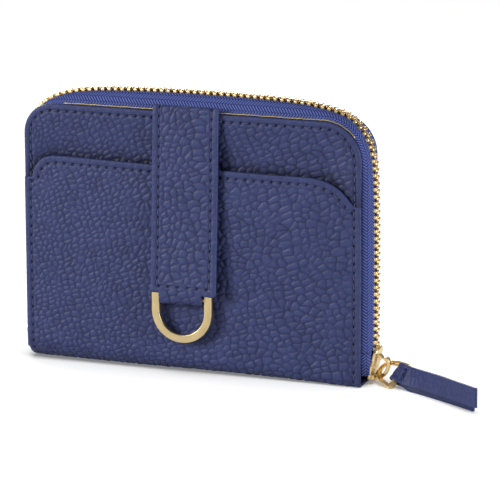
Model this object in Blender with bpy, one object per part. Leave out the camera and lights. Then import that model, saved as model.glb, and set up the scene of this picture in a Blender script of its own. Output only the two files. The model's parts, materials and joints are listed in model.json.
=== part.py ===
"""A small zip-around wallet with a leather strap tab and a half ring on its front.

It stands on its spine. +X runs to the right, +Y to the back and +Z up. The origin is on the
surface under the middle of the spine. Lengths below are in millimetres and angles in degrees.
"""

import math

import bmesh
import bpy
import numpy as np
from mathutils import Vector

MM = 0.001

# Closed wallet
HALF_WIDTH = 58.0
COVER_TOP = 86.5
HALF_DEPTH = 9.0
RADIUS_RIGHT = 13.0
RADIUS_LEFT = 10.0
GAP = 0.3

# Spine and the creases that the covers turn about
SPINE_RADIUS = 5.0
HINGE_Z = 7.0
LEATHER = 0.9

# Layers of one cover, as distances from the middle plane (outer face, inner face)
OUTER_LAYER = (9.0, 8.1)
SECOND_LAYER = (7.8, 6.9)
FRONT_BOARD = (6.6, 6.0)
BACK_BOARD = (7.8, 7.2)
LINING_LAYER = (5.7, 5.2)
INNER_LAYERS = ((4.9, 4.4), (4.1, 3.6), (3.3, 2.8))
BOARD_INSET = 5.5
LINING_INSET = 3.0
POCKET_HALF_WIDTH = 51.5

# Slip pocket on the front: its mouth and its two dropped shoulders
MOUTH_LEFT = (-46.0, 69.4)
MOUTH_RIGHT = (42.9, 67.9)
EAR_LEFT = (-55.4, 61.8)
EAR_RIGHT = (55.5, 59.6)

# Gilt piping along the upper edge of the front panel
PIPING_WIDTH = 0.45
PIPING_LAYER = (7.75, 7.25)
PIPING_START_X = -46.0
PIPING_SWEEP = 55.0

# Inside pockets: upper edges, and the coin pocket's frame
CARD_POCKET_TOPS = (68.0, 57.0, 46.0)
NOTE_POCKET_TOP = 76.0
NOTE_POCKET_HALF_WIDTH = 52.5
COIN_POCKET_TOP = 58.0
COIN_POCKET_HALF_WIDTH = 46.0
GUSSET_WIDTH = 3.5

# Spine layers, as heights (lower face, upper face), and their half depths and half lengths
SPINE_BOARD = (1.2, 1.8)
SPINE_BOARD_HALF = (5.0, 52.5)
SPINE_LINING = (2.1, 2.6)
SPINE_LINING_HALF = (6.3, 54.0)

# Strap in profile (y, z): its face from the bottom up, the fold at the top, and its underside
STRAP_FACE = [(-13.5, 28.3), (-13.2, 31.0), (-12.9, 34.0), (-12.6, 38.5), (-12.0, 46.0),
              (-11.4, 56.0), (-10.9, 66.0), (-10.6, 74.0), (-10.2, 82.0), (-9.9, 86.5)]
STRAP_FOLD = [(-9.5, 88.2), (-8.9, 88.8), (-8.3, 88.3), (-8.15, 87.0)]
STRAP_UNDER = [(-8.15, 72.0), (-9.35, 70.4), (-9.35, 64.0), (-9.7, 56.0), (-10.4, 46.0),
               (-11.35, 38.5), (-11.45, 34.0), (-11.75, 31.0), (-12.3, 28.3)]
TONGUE_FRONT_LEAF = [(-10.6, 37.5), (-10.8, 33.5), (-11.0, 30.5), (-11.15, 28.6)]
TONGUE_BACK_LEAF = [(-9.7, 28.2), (-9.72, 31.0), (-9.72, 37.5)]
TONGUE_TURN_RADIUS = 1.75

# Strap tab, its tongue and the half ring
STRAP_CENTRE_X = -1.1
STRAP_WIDTH = 22.6
TONGUE_CENTRE_X = -2.0
TONGUE_WIDTH = 14.8
TONGUE_THICKNESS = 0.8
RING_CENTRE_X = -1.95
RING_PIVOT_Y = -11.5
RING_PIVOT_Z = 25.7
RING_OUTER = 10.4
RING_INNER = 7.7
RING_ARC_Z = 21.2
RING_THICKNESS = 1.7
RING_BAR = 1.8
RING_SHOULDER = 1.4

# Zip chain
CREST_HALF_WIDTH = 60.1
CREST_CORNER_Z = 73.5
CREST_RADIUS = 16.5
CREST_RISE = 1.4
CHAIN_BOTTOM = 10.8
TAPE_THICKNESS = 0.5
TAPE_FLANGE_Y = 6.35
TAPE_EDGE_Y = 2.6
TOOTH_PITCH = 2.29
TOOTH_HALF_HEIGHT = 0.9
TOOTH_BACK_Y = 2.3
TOOTH_ROOT_Y = 1.5
TOOTH_HEAD_Y = 0.2
TAPE_FLANGE_WIDTH = 4.2
TAPE_END_FLANGE_WIDTH = 2.4
TAPE_OVERLAP = 0.7
TAPE_END_BOTTOM = 2.4
TOOTH_START = 0.7
STOP_HALF_WIDTH = 0.7
STOP_BOTTOMS = {"right": 1.4, "left": 7.4}
STOP_HEIGHT = 2.0
STOP_LAYER = (1.5, 3.0)

# Slider and its pull
SLIDER_Z = 5.5
PLATE_NEAR = 1.25
PLATE_FAR = 2.15
INNER_PLATE_FAR = 1.75
SLOT_HALF = 0.8
PLATE_HALF_PLAN = [(3.7, 4.7), (3.7, 1.0), (4.3, -1.5), (4.3, -3.4), (3.2, -4.7)]
DIAMOND_PLAN = [(0.0, -0.6), (1.1, -2.4), (0.9, -4.4), (-0.9, -4.4), (-1.1, -2.4)]
LIP_OUTER = [(3.68, 4.6), (3.68, 1.0), (4.28, -1.5), (4.28, -3.3)]
LIP_INNER = [(3.5, -3.3), (3.5, -1.5), (2.9, 1.0), (2.9, 4.6)]
JOINT_OVERLAP = 0.2
CROWN_LINE = [(1.8, -3.9), (4.1, -3.85), (5.2, -3.2), (5.5, -2.0), (5.5, 2.2), (5.1, 3.3), (3.9, 3.8)]
CROWN_THICKNESS = 1.0
CROWN_HALF_WIDTH = 0.5
CROWN_STUB = [(1.9, 3.1), (3.1, 3.3), (3.1, 4.2), (1.9, 4.4)]
CROWN_STUB_HALF_WIDTH = 0.6
LINK_START = Vector((63.5, 0.8, 5.0))
LINK_HEADING = Vector((0.812, -0.549, -0.198))
LINK_LENGTH = 7.0
LINK_TILT = 46.0
LINK_HALF_WIDTH = 5.4
LINK_BAND = 1.0
LINK_THICKNESS = 1.1
LINK_BOW = (3.1, 3.6)
LINK_BOW_MIDDLE = 2.6
LINK_FLARE = (4.8, 5.1)
LINK_HALF_BAR = 0.65
TAB_END = Vector((101.0, -24.6, 4.6))
TAB_WIDTH = 7.6
TAB_LAYER = 1.0
TAB_TWIST_LENGTH = 8.0
TAB_FOLD_RADIUS = 1.65
TAB_FOLD_LENGTH = 6.5
TAB_FOLD_SHIFT = 0.2
TAB_SHUT = 0.65
TAB_SPLAY = 0.25

# Colours: red, green, blue, roughness, metallic
LEATHER_BLUE = (0.062, 0.072, 0.185, 0.48, 0.0)
LINING_BLUE = (0.030, 0.036, 0.100, 0.75, 0.0)
TAPE_BLUE = (0.060, 0.085, 0.300, 0.85, 0.0)
BOARD_GREY = (0.300, 0.290, 0.270, 0.90, 0.0)
PALE_GOLD = (0.640, 0.500, 0.250, 0.28, 1.0)
BRASS = (0.600, 0.400, 0.120, 0.30, 1.0)

bodies = {}


def clear_scene():
    for obj in list(bpy.data.objects):
        bpy.data.objects.remove(obj, do_unlink=True)


def add_body(name, pivot):
    """An empty on the axis that a moving body turns about, which its pieces are parented to."""
    empty = bpy.data.objects.new(name, None)
    empty.location = Vector(pivot) * MM
    empty.empty_display_size = 0.01
    bpy.context.collection.objects.link(empty)
    bodies[name] = (empty, Vector(pivot))


def make_material(name, finish):
    material = bpy.data.materials.new(name)
    material.use_nodes = True
    shader = material.node_tree.nodes["Principled BSDF"]
    red, green, blue, roughness, metallic = finish
    shader.inputs["Base Color"].default_value = (red, green, blue, 1.0)
    shader.inputs["Roughness"].default_value = roughness
    shader.inputs["Metallic"].default_value = metallic
    return material


def add_piece(name, body, finish, points, faces):
    """A closed mesh from points in millimetres, with its faces turned outwards."""
    parent, pivot = bodies[body]
    mesh = bpy.data.meshes.new(name)
    mesh.from_pydata([(Vector(p) - pivot) * MM for p in points], [], faces)
    work = bmesh.new()
    work.from_mesh(mesh)
    bmesh.ops.recalc_face_normals(work, faces=work.faces)
    work.to_mesh(mesh)
    work.free()
    mesh.materials.append(make_material(name, finish))
    obj = bpy.data.objects.new(name, mesh)
    bpy.context.collection.objects.link(obj)
    obj.parent = parent
    return obj


def loft(rings):
    """Points and faces of a closed solid that joins equal rings one after another."""
    count = len(rings[0])
    points = [point for ring in rings for point in ring]
    faces = []
    for step in range(len(rings) - 1):
        for k in range(count):
            near, far = step * count, (step + 1) * count
            after = (k + 1) % count
            faces.append((near + k, near + after, far + after, far + k))
    faces.append(tuple(reversed(range(count))))
    faces.append(tuple(range((len(rings) - 1) * count, len(rings) * count)))
    return points, faces


def slab(outline, y_near, y_far):
    """An outline in the XZ plane, extruded along Y."""
    return loft([[(x, y, z) for x, z in outline] for y in (y_near, y_far)])


def bar(outline, x_near, x_far):
    """An outline in the YZ plane, extruded along X."""
    return loft([[(x, y, z) for y, z in outline] for x in (x_near, x_far)])


def arc(centre, radius, start, end, steps):
    """Points along an arc, both ends included."""
    angles = np.radians(np.linspace(start, end, steps + 1))
    return [(centre[0] + radius * math.cos(a), centre[1] + radius * math.sin(a)) for a in angles]


def ribbon(centreline, thickness):
    """The outline of a strip that is bent along a centreline in one plane."""
    line = np.array(centreline, dtype=float)
    along = np.gradient(line, axis=0)
    along /= np.linalg.norm(along, axis=1)[:, None]
    across = np.column_stack((-along[:, 1], along[:, 0])) * thickness / 2
    return [tuple(p) for p in line + across] + [tuple(p) for p in (line - across)[::-1]]


def cut(obj, cutter):
    """Subtract a hidden cutter from an object."""
    cutter.hide_render = True
    cutter.display_type = "WIRE"
    modifier = obj.modifiers.new("cut", "BOOLEAN")
    modifier.operation = "DIFFERENCE"
    modifier.object = cutter


def join_solid(obj, other):
    """Unite an object with a hidden second shape."""
    other.hide_render = True
    other.display_type = "WIRE"
    modifier = obj.modifiers.new("join", "BOOLEAN")
    modifier.operation = "UNION"
    modifier.object = other


# ---- Outlines of the covers -------------------------------------------------------------


def cover_outline(inset, bottom):
    """The cover's outline: two rounded upper corners and a straight lower edge."""
    side = HALF_WIDTH - inset
    left = arc((RADIUS_LEFT - HALF_WIDTH, COVER_TOP - RADIUS_LEFT), RADIUS_LEFT - inset, 90, 180, 7)
    right = arc((HALF_WIDTH - RADIUS_RIGHT, COVER_TOP - RADIUS_RIGHT), RADIUS_RIGHT - inset, 0, 90, 7)
    return [(-side, bottom), (side, bottom)] + right + left


def pocket_outline(bottom):
    """The slip pocket: a mouth that drops to a lower ear at each side."""
    right = arc((MOUTH_RIGHT[0], MOUTH_RIGHT[1] - 13.5), 13.5, 35, 84, 5)
    left = arc((MOUTH_LEFT[0], MOUTH_LEFT[1] - 9.0), 9.0, 96, 165, 5)
    low_left = (-HALF_WIDTH, EAR_LEFT[1])
    low_right = (HALF_WIDTH, EAR_RIGHT[1])
    corners = [(-HALF_WIDTH, bottom), (HALF_WIDTH, bottom), low_right, EAR_RIGHT]
    return corners + right + [MOUTH_RIGHT, MOUTH_LEFT] + left + [EAR_LEFT, low_left]


def card_outline(bottom, top, half_width=POCKET_HALF_WIDTH):
    """A card pocket: a panel with two small rounded upper corners."""
    radius = 3.0
    right = arc((half_width - radius, top - radius), radius, 0, 90, 3)
    left = arc((radius - half_width, top - radius), radius, 90, 180, 3)
    return [(-half_width, bottom), (half_width, bottom)] + right + left


# ---- Spine ------------------------------------------------------------------------------


def build_spine():
    outer, inner = HALF_DEPTH, HALF_DEPTH - LEATHER
    middle = HALF_DEPTH - SPINE_RADIUS
    outside = [(-outer, HINGE_Z)] + arc((-middle, SPINE_RADIUS), SPINE_RADIUS, 180, 270, 6)
    outside += arc((middle, SPINE_RADIUS), SPINE_RADIUS, 270, 360, 6) + [(outer, HINGE_Z)]
    inside = [(inner, HINGE_Z)]
    inside += arc((middle, SPINE_RADIUS), SPINE_RADIUS - LEATHER, 360, 270, 6)
    inside += arc((-middle, SPINE_RADIUS), SPINE_RADIUS - LEATHER, 270, 180, 6)
    inside += [(-inner, HINGE_Z)]
    add_piece("spine_leather", "spine", LEATHER_BLUE, *bar(outside + inside, -HALF_WIDTH, HALF_WIDTH))
    for name, finish, (low, high), (half_depth, half_length) in (
            ("spine_board", BOARD_GREY, SPINE_BOARD, SPINE_BOARD_HALF),
            ("spine_lining", LINING_BLUE, SPINE_LINING, SPINE_LINING_HALF)):
        section = [(-half_depth, low), (half_depth, low), (half_depth, high), (-half_depth, high)]
        add_piece(name, "spine", finish, *bar(section, -half_length, half_length))


# ---- Zip tapes and teeth ------------------------------------------------------------------


def zip_paths(bottom):
    """Matching stations along the leather edge and along the crest, right foot to left foot."""
    edge, crest = [], []
    for t in np.linspace(0, 1, 5)[:-1]:
        z = bottom + t * (CREST_CORNER_Z - bottom)
        edge.append((HALF_WIDTH, z))
        crest.append((CREST_HALF_WIDTH, z))
    middle = CREST_HALF_WIDTH - CREST_RADIUS
    edge += arc((HALF_WIDTH - RADIUS_RIGHT, CREST_CORNER_Z), RADIUS_RIGHT, 0, 90, 8)
    crest += arc((middle, CREST_CORNER_Z), CREST_RADIUS, 0, 90, 8)
    start, end = HALF_WIDTH - RADIUS_RIGHT, RADIUS_LEFT - HALF_WIDTH
    for t in np.linspace(0, 1, 9)[1:-1]:
        edge.append((start + t * (end - start), COVER_TOP))
        crest.append((middle - 2 * t * middle, crest_top(middle - 2 * t * middle)))
    edge += arc((end, COVER_TOP - RADIUS_LEFT), RADIUS_LEFT, 90, 180, 8)
    crest += arc((-middle, CREST_CORNER_Z), CREST_RADIUS, 90, 180, 8)
    for t in np.linspace(0, 1, 5)[1:]:
        edge.append((-HALF_WIDTH, COVER_TOP - RADIUS_LEFT + t * (bottom - COVER_TOP + RADIUS_LEFT)))
        crest.append((-CREST_HALF_WIDTH, CREST_CORNER_Z + t * (bottom - CREST_CORNER_Z)))
    return np.array(edge), np.array(crest)


def crest_top(x):
    """Height of the crest's upper run, which bows up a little in the middle."""
    middle = CREST_HALF_WIDTH - CREST_RADIUS
    return CREST_CORNER_Z + CREST_RADIUS + CREST_RISE * (1 - (x / middle) ** 2)


def tape_section(width, inner_end, y_end):
    """Tape cross-section: a sewn flange, then a quarter of an ellipse out to the teeth."""
    flange = [(inner_end, -TAPE_FLANGE_Y)]
    reach = width + TAPE_OVERLAP
    rise = TAPE_FLANGE_Y - TAPE_EDGE_Y
    last = math.degrees(math.acos(max(0.0, (y_end - TAPE_EDGE_Y) / rise)))
    bend = []
    for angle in np.radians(np.linspace(0, last, 7)):
        bend.append((reach * math.sin(angle) - TAPE_OVERLAP, -TAPE_EDGE_Y - rise * math.cos(angle)))
    return ribbon(flange + bend, TAPE_THICKNESS)


def tape_rings(edge, crest, inner_end, y_end, side):
    """One tape: side is 1 for the front tape and -1 for its mirror on the back."""
    rings = []
    for low, high in zip(edge, crest):
        width = np.linalg.norm(high - low)
        out = (high - low) / width
        section = tape_section(width, inner_end, y_end)
        rings.append([(*(low + out * u), side * y) for u, y in section])
    return [[(x, y, z) for x, z, y in ring] for ring in rings]


def tape_end(name, side, hand):
    """The end of a tape that is sewn down inside the end of the spine."""
    z_low, z_high = TAPE_END_BOTTOM, CHAIN_BOTTOM - GAP
    edge = np.array([(hand * HALF_WIDTH, z_low), (hand * HALF_WIDTH, z_high)])
    crest = np.array([(hand * CREST_HALF_WIDTH, z_low), (hand * CREST_HALF_WIDTH, z_high)])
    rings = tape_rings(edge, crest, -TAPE_END_FLANGE_WIDTH, TOOTH_BACK_Y + 1.0, side)
    add_piece(name, "spine", TAPE_BLUE, *loft(rings))


def crest_curve(bottom):
    """A fine walk along the crest and its running length, for spacing the teeth."""
    middle = CREST_HALF_WIDTH - CREST_RADIUS
    walk = [(CREST_HALF_WIDTH, bottom)] + arc((middle, CREST_CORNER_Z), CREST_RADIUS, 0, 90, 60)
    walk += [(x, crest_top(x)) for x in np.linspace(middle, -middle, 120)[1:-1]]
    walk += arc((-middle, CREST_CORNER_Z), CREST_RADIUS, 90, 180, 60) + [(-CREST_HALF_WIDTH, bottom)]
    walk = np.array(walk)
    length = np.concatenate(([0.0], np.cumsum(np.linalg.norm(np.diff(walk, axis=0), axis=1))))
    return walk, length


def teeth_row(name, body, side, start):
    """One row of teeth standing on a continuous bead that runs round three sides."""
    walk, length = crest_curve(CHAIN_BOTTOM + GAP)

    def place(s, y):
        """The outer and inner corner at running length s."""
        here = np.array([np.interp(s, length, walk[:, k]) for k in (0, 1)])
        ahead = np.array([np.interp(s + 0.3, length, walk[:, k]) for k in (0, 1)])
        behind = np.array([np.interp(s - 0.3, length, walk[:, k]) for k in (0, 1)])
        along = (ahead - behind) / np.linalg.norm(ahead - behind)
        out = np.array([along[1], -along[0]]) * TOOTH_HALF_HEIGHT
        return [(here[0] + out[0], side * y, here[1] + out[1]),
                (here[0] - out[0], side * y, here[1] - out[1])]

    count = int((length[-1] - start - 1.0) // TOOTH_PITCH)
    points, faces = [], []
    for i in range(count):
        s = start + i * TOOTH_PITCH
        corners = ((s - 0.6, -TOOTH_BACK_Y), (s - 0.6, -TOOTH_ROOT_Y), (s - 0.4, -TOOTH_HEAD_Y),
                   (s + 0.4, -TOOTH_HEAD_Y), (s + 0.6, -TOOTH_ROOT_Y))
        for distance, y in corners:
            points += place(distance, y)
    step = 10
    for i in range(count - 1):
        first = i * step
        after = first + step
        plan = [first, first + 2, first + 4, first + 6, first + 8, after + 2, after]
        faces.append(tuple(plan))
        faces.append(tuple(k + 1 for k in reversed(plan)))
        side_run = plan[1:6]
        faces += [(a, a + 1, b + 1, b) for a, b in zip(side_run, side_run[1:])]
        faces.append((first, first + 1, after + 1, after))
    last = (count - 1) * step
    points += place(start + (count - 1) * TOOTH_PITCH + 0.6, -TOOTH_BACK_Y)
    plan = [last, last + 2, last + 4, last + 6, last + 8, last + 10]
    faces.append(tuple(plan))
    faces.append(tuple(k + 1 for k in reversed(plan)))
    faces += [(a, a + 1, b + 1, b) for a, b in zip(plan[1:], plan[2:])]
    faces.append((last, last + 1, last + 11, last + 10))
    faces.append((0, 1, 3, 2))
    add_piece(name, body, BRASS, points, faces)


def build_zip():
    edge, crest = zip_paths(CHAIN_BOTTOM)
    front = tape_rings(edge, crest, -TAPE_FLANGE_WIDTH, TAPE_EDGE_Y, 1)
    back = tape_rings(edge, crest, -TAPE_FLANGE_WIDTH, TAPE_EDGE_Y, -1)
    add_piece("front_zip_tape", "front_cover", TAPE_BLUE, *loft(front))
    add_piece("back_zip_tape", "back_cover", TAPE_BLUE, *loft(back))
    teeth_row("front_zip_teeth", "front_cover", 1, TOOTH_START)
    teeth_row("back_zip_teeth", "back_cover", -1, TOOTH_START + TOOTH_PITCH / 2)
    for hand, side_name in ((1, "right"), (-1, "left")):
        tape_end(f"{side_name}_front_tape_end", 1, hand)
        tape_end(f"{side_name}_back_tape_end", -1, hand)
        for side, face_name in ((1, "front"), (-1, "back")):
            left = hand * CREST_HALF_WIDTH - STOP_HALF_WIDTH
            right = hand * CREST_HALF_WIDTH + STOP_HALF_WIDTH
            low = STOP_BOTTOMS[side_name]
            high = low + STOP_HEIGHT
            stop = [(left, low), (right, low), (right, high), (left, high)]
            pieces = slab(stop, -side * STOP_LAYER[0], -side * STOP_LAYER[1])
            add_piece(f"{side_name}_{face_name}_stop", "spine", BRASS, *pieces)


# ---- Covers -------------------------------------------------------------------------------


def build_front_cover():
    low = HINGE_Z + GAP
    outer, inner = OUTER_LAYER
    add_piece("front_pocket", "front_cover", LEATHER_BLUE, *slab(pocket_outline(low), -outer, -inner))
    outer, inner = SECOND_LAYER
    add_piece("front_panel", "front_cover", LEATHER_BLUE, *slab(cover_outline(0, low), -outer, -inner))
    outer, inner = FRONT_BOARD
    add_piece("front_board", "front_cover", BOARD_GREY,
              *slab(cover_outline(BOARD_INSET, low + 1.0), -outer, -inner))
    outer, inner = LINING_LAYER
    add_piece("front_lining", "front_cover", LINING_BLUE,
              *slab(cover_outline(LINING_INSET, low + 0.5), -outer, -inner))
    for index, (layer, top) in enumerate(zip(INNER_LAYERS, CARD_POCKET_TOPS)):
        panel = card_outline(low + 1.5, top)
        add_piece(f"front_card_pocket_{index + 1}", "front_cover", LEATHER_BLUE,
                  *slab(panel, -layer[0], -layer[1]))


def build_back_cover():
    low = HINGE_Z + GAP
    # The back leather is turned in round its edge, so its rim is thicker than its middle.
    skin, turned = OUTER_LAYER, SECOND_LAYER[1]
    panel = add_piece("back_panel", "back_cover", LEATHER_BLUE,
                      *slab(cover_outline(0, low), turned, skin[0]))
    recess = cover_outline(BOARD_INSET - GAP, low - 1.0)
    cut(panel, add_piece("back_panel_recess", "back_cover", LEATHER_BLUE,
                         *slab(recess, turned - 1.0, skin[1])))
    outer, inner = BACK_BOARD
    add_piece("back_board", "back_cover", BOARD_GREY,
              *slab(cover_outline(BOARD_INSET, low + 1.0), inner, outer))
    outer, inner = LINING_LAYER
    add_piece("back_lining", "back_cover", LINING_BLUE,
              *slab(cover_outline(LINING_INSET, low + 0.5), inner, outer))
    note, gusset, wall = INNER_LAYERS
    add_piece("note_pocket", "back_cover", LEATHER_BLUE,
              *slab(card_outline(low + 1.5, NOTE_POCKET_TOP, NOTE_POCKET_HALF_WIDTH), note[1], note[0]))
    side, depth = COIN_POCKET_HALF_WIDTH, GUSSET_WIDTH
    low_edge, high_edge = low + 2.5, COIN_POCKET_TOP
    frame = [(-side, high_edge), (-side, low_edge), (side, low_edge), (side, high_edge),
             (side - depth, high_edge), (side - depth, low_edge + depth),
             (depth - side, low_edge + depth), (depth - side, high_edge)]
    add_piece("coin_pocket_gusset", "back_cover", LINING_BLUE, *slab(frame, gusset[1], gusset[0]))
    add_piece("coin_pocket_wall", "back_cover", LEATHER_BLUE,
              *slab(card_outline(low + 2.5, COIN_POCKET_TOP, side), wall[1], wall[0]))


def build_piping():
    """A thin gilt cord laid along the upper edge of the front panel."""
    offset = GAP + PIPING_WIDTH / 2
    centre_right = (HALF_WIDTH - RADIUS_RIGHT, COVER_TOP - RADIUS_RIGHT)
    line = [(PIPING_START_X, COVER_TOP + offset), (0.0, COVER_TOP + offset)]
    line += arc(centre_right, RADIUS_RIGHT + offset, 90, 90 - PIPING_SWEEP, 6)
    near, far = PIPING_LAYER
    rings = []
    for k, (x, z) in enumerate(line):
        angle = math.radians(90.0 if k < 2 else 90.0 - PIPING_SWEEP * (k - 2) / 6)
        out = np.array([math.cos(angle), math.sin(angle)]) * PIPING_WIDTH / 2
        rings.append([(x + out[0], -near, z + out[1]), (x + out[0], -far, z + out[1]),
                      (x - out[0], -far, z - out[1]), (x - out[0], -near, z - out[1])])
    add_piece("front_piping", "front_cover", PALE_GOLD, *loft(rings))


# ---- Strap, tongue and ring ---------------------------------------------------------------


def build_strap():
    left = STRAP_CENTRE_X - STRAP_WIDTH / 2
    right = STRAP_CENTRE_X + STRAP_WIDTH / 2
    profile = STRAP_FACE + STRAP_FOLD + STRAP_UNDER
    add_piece("front_strap", "front_cover", LEATHER_BLUE, *bar(profile, left, right))
    # The tongue hangs from under the strap, round the ring's bar and back up.
    turn = arc((RING_PIVOT_Y, RING_PIVOT_Z), TONGUE_TURN_RADIUS, 105, 350, 12)
    strip = ribbon(TONGUE_FRONT_LEAF + turn + TONGUE_BACK_LEAF, TONGUE_THICKNESS)
    left = TONGUE_CENTRE_X - TONGUE_WIDTH / 2
    right = TONGUE_CENTRE_X + TONGUE_WIDTH / 2
    add_piece("strap_tongue", "front_cover", LEATHER_BLUE, *bar(strip, left, right))


def build_ring():
    """Half ring: a straight bar that the tongue holds, square shoulders and a round bow."""
    def shape(radius, top, steps):
        bow = arc((RING_CENTRE_X, RING_ARC_Z), radius, 180, 360, steps)
        return [(RING_CENTRE_X - radius, top)] + bow + [(RING_CENTRE_X + radius, top)]

    bar_top = RING_PIVOT_Z + RING_BAR / 2
    shoulder = RING_PIVOT_Z + RING_SHOULDER
    outline = shape(RING_OUTER, shoulder, 20)
    outline += [(RING_CENTRE_X + RING_INNER, shoulder), (RING_CENTRE_X + RING_INNER, bar_top),
                (RING_CENTRE_X - RING_INNER, bar_top), (RING_CENTRE_X - RING_INNER, shoulder)]
    near = RING_PIVOT_Y - RING_THICKNESS / 2
    far = RING_PIVOT_Y + RING_THICKNESS / 2
    ring = add_piece("half_ring", "ring", PALE_GOLD, *slab(outline, near, far))
    hole = shape(RING_INNER, RING_PIVOT_Z - RING_BAR / 2, 18)
    cutter = add_piece("half_ring_hole", "ring", PALE_GOLD, *slab(hole, near - 1, far + 1))
    cut(ring, cutter)


# ---- Slider and pull ------------------------------------------------------------------------


def build_slider():
    """Two plates joined by a diamond at the wide lower end, with lips and an open crown."""
    x, z = CREST_HALF_WIDTH, SLIDER_Z
    plan = PLATE_HALF_PLAN + [(-py, pz) for py, pz in reversed(PLATE_HALF_PLAN)]

    def block(outline, x_near, x_far):
        return bar([(py, pz + z) for py, pz in outline], x + x_near, x + x_far)

    body = add_piece("slider_body", "slider", BRASS, *block(plan, PLATE_NEAR, PLATE_FAR))
    extra = [block(plan, -INNER_PLATE_FAR, -PLATE_NEAR)]
    extra.append(block(DIAMOND_PLAN, -PLATE_NEAR - JOINT_OVERLAP, PLATE_NEAR + JOINT_OVERLAP))
    for hand in (1, -1):
        lip = [(hand * py, pz) for py, pz in LIP_OUTER + LIP_INNER]
        extra.append(block(lip, SLOT_HALF, PLATE_NEAR + JOINT_OVERLAP))
        extra.append(block(lip, -PLATE_NEAR - JOINT_OVERLAP, -SLOT_HALF))
    outline = [(x + px, z + pz) for px, pz in ribbon(CROWN_LINE, CROWN_THICKNESS)]
    extra.append(slab(outline, -CROWN_HALF_WIDTH, CROWN_HALF_WIDTH))
    stub = [(x + px, z + pz) for px, pz in CROWN_STUB]
    extra.append(slab(stub, -CROWN_STUB_HALF_WIDTH, CROWN_STUB_HALF_WIDTH))
    for index, (points, faces) in enumerate(extra):
        join_solid(body, add_piece(f"slider_block_{index}", "slider", BRASS, points, faces))


def link_frame():
    """Directions of the pull link: along it, along its bar, and square to both."""
    across = tab_across((TAB_END - LINK_START).normalized(), LINK_TILT)
    along = (LINK_HEADING - across * across.dot(LINK_HEADING)).normalized()
    return along, across, along.cross(across)


def tab_across(along, tilt):
    """Width direction of the tab, leaning by tilt from standing on its edge."""
    level = Vector((along.y, -along.x, 0.0)).normalized()
    upright = along.cross(level).normalized()
    if upright.z > 0:
        upright.negate()
    return upright * math.cos(math.radians(tilt)) + level * math.sin(math.radians(tilt))


def build_link():
    along, across, square = link_frame()

    def loop(inset):
        """Round at the crown's end, flaring to square corners at the bar's end."""
        angles = np.radians(np.linspace(90, 270, 11))
        bow = [(LINK_BOW_MIDDLE + (LINK_BOW[0] - inset) * math.cos(a), (LINK_BOW[1] - inset) * math.sin(a))
               for a in angles]
        flare = (LINK_FLARE[0], LINK_FLARE[1] - inset)
        far_end = LINK_LENGTH + (-LINK_HALF_BAR if inset else LINK_HALF_BAR)
        corner = (far_end, LINK_HALF_WIDTH - inset)
        right = [(flare[0], -flare[1]), (corner[0], -corner[1])]
        return bow + right + [corner, flare]

    def plate(outline, reach):
        rings = []
        for height in (-reach, reach):
            rings.append([LINK_START + along * l + across * w + square * height for l, w in outline])
        return loft(rings)

    outer = loop(0.0)
    inner = loop(LINK_BAND)
    link = add_piece("pull_link", "link", BRASS, *plate(outer, LINK_THICKNESS / 2))
    cutter = add_piece("pull_link_hole", "link", BRASS, *plate(inner, LINK_THICKNESS))
    cut(link, cutter)


def build_tab():
    """A leather strip folded round the link's bar, its two leaves lying together."""
    along, across, _ = link_frame()
    start = LINK_START + along * LINK_LENGTH
    heading = (TAB_END - start).normalized()
    length = (TAB_END - start).length
    stations = np.concatenate((np.linspace(length, 8.0, 6), np.linspace(TAB_FOLD_LENGTH, 0.0, 6)))

    def spread(s):
        """Half distance between the leaves' middles, wide at the bar and nearly shut beyond."""
        shut = TAB_SHUT + TAB_SPLAY * (s / length) ** 2
        t = min(1.0, s / TAB_FOLD_LENGTH)
        return TAB_FOLD_RADIUS + (shut - TAB_FOLD_RADIUS) * t * t * (3 - 2 * t)

    def station(s, height):
        tilt = LINK_TILT * math.exp(-max(s, 0.0) / TAB_TWIST_LENGTH)
        wide = tab_across(heading, tilt)
        square = heading.cross(wide)
        centre = start + heading * s + square * height
        return centre, wide, square, heading

    path = [station(s, spread(s)) for s in stations]
    turn_radius = spread(0.0)
    for angle in np.radians(np.linspace(22.5, 157.5, 7)):
        s = -TAB_FOLD_SHIFT - turn_radius * math.sin(angle)
        centre, wide, square, ahead = station(0.0, turn_radius * math.cos(angle))
        path.append((centre + ahead * s, wide, square, ahead))
    path += [station(s, -spread(s)) for s in stations[::-1]]
    rings = []
    for k, (centre, wide, square, ahead) in enumerate(path):
        before = path[max(k - 1, 0)][0]
        after = path[min(k + 1, len(path) - 1)][0]
        run = (after - before).normalized()
        skin = run.cross(wide).normalized() * TAB_LAYER / 2
        edge = wide * TAB_WIDTH / 2
        rings.append([centre + edge + skin, centre - edge + skin,
                      centre - edge - skin, centre + edge - skin])
    add_piece("pull_tab", "tab", LEATHER_BLUE, *loft(rings))


def main():
    clear_scene()
    add_body("spine", (0.0, 0.0, 0.0))
    add_body("front_cover", (0.0, -HALF_DEPTH, HINGE_Z))
    add_body("back_cover", (0.0, HALF_DEPTH, HINGE_Z))
    add_body("ring", (RING_CENTRE_X, RING_PIVOT_Y, RING_PIVOT_Z))
    add_body("slider", (CREST_HALF_WIDTH, 0.0, SLIDER_Z))
    add_body("link", LINK_START)
    along, _, _ = link_frame()
    add_body("tab", LINK_START + along * LINK_LENGTH)
    build_spine()
    build_front_cover()
    build_back_cover()
    build_piping()
    build_strap()
    build_ring()
    build_zip()
    build_slider()
    build_link()
    build_tab()


main()
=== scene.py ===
"""Looks of a small zip-around wallet in pebbled leather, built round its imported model.

+X runs to the right, +Y to the back and +Z up. Lengths are in millimetres until a mesh is made.
"""

import json
import math

import bmesh
import bpy
import numpy as np
from mathutils import Matrix, Vector
from mathutils.geometry import delaunay_2d_cdt
from mathutils.kdtree import KDTree


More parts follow.
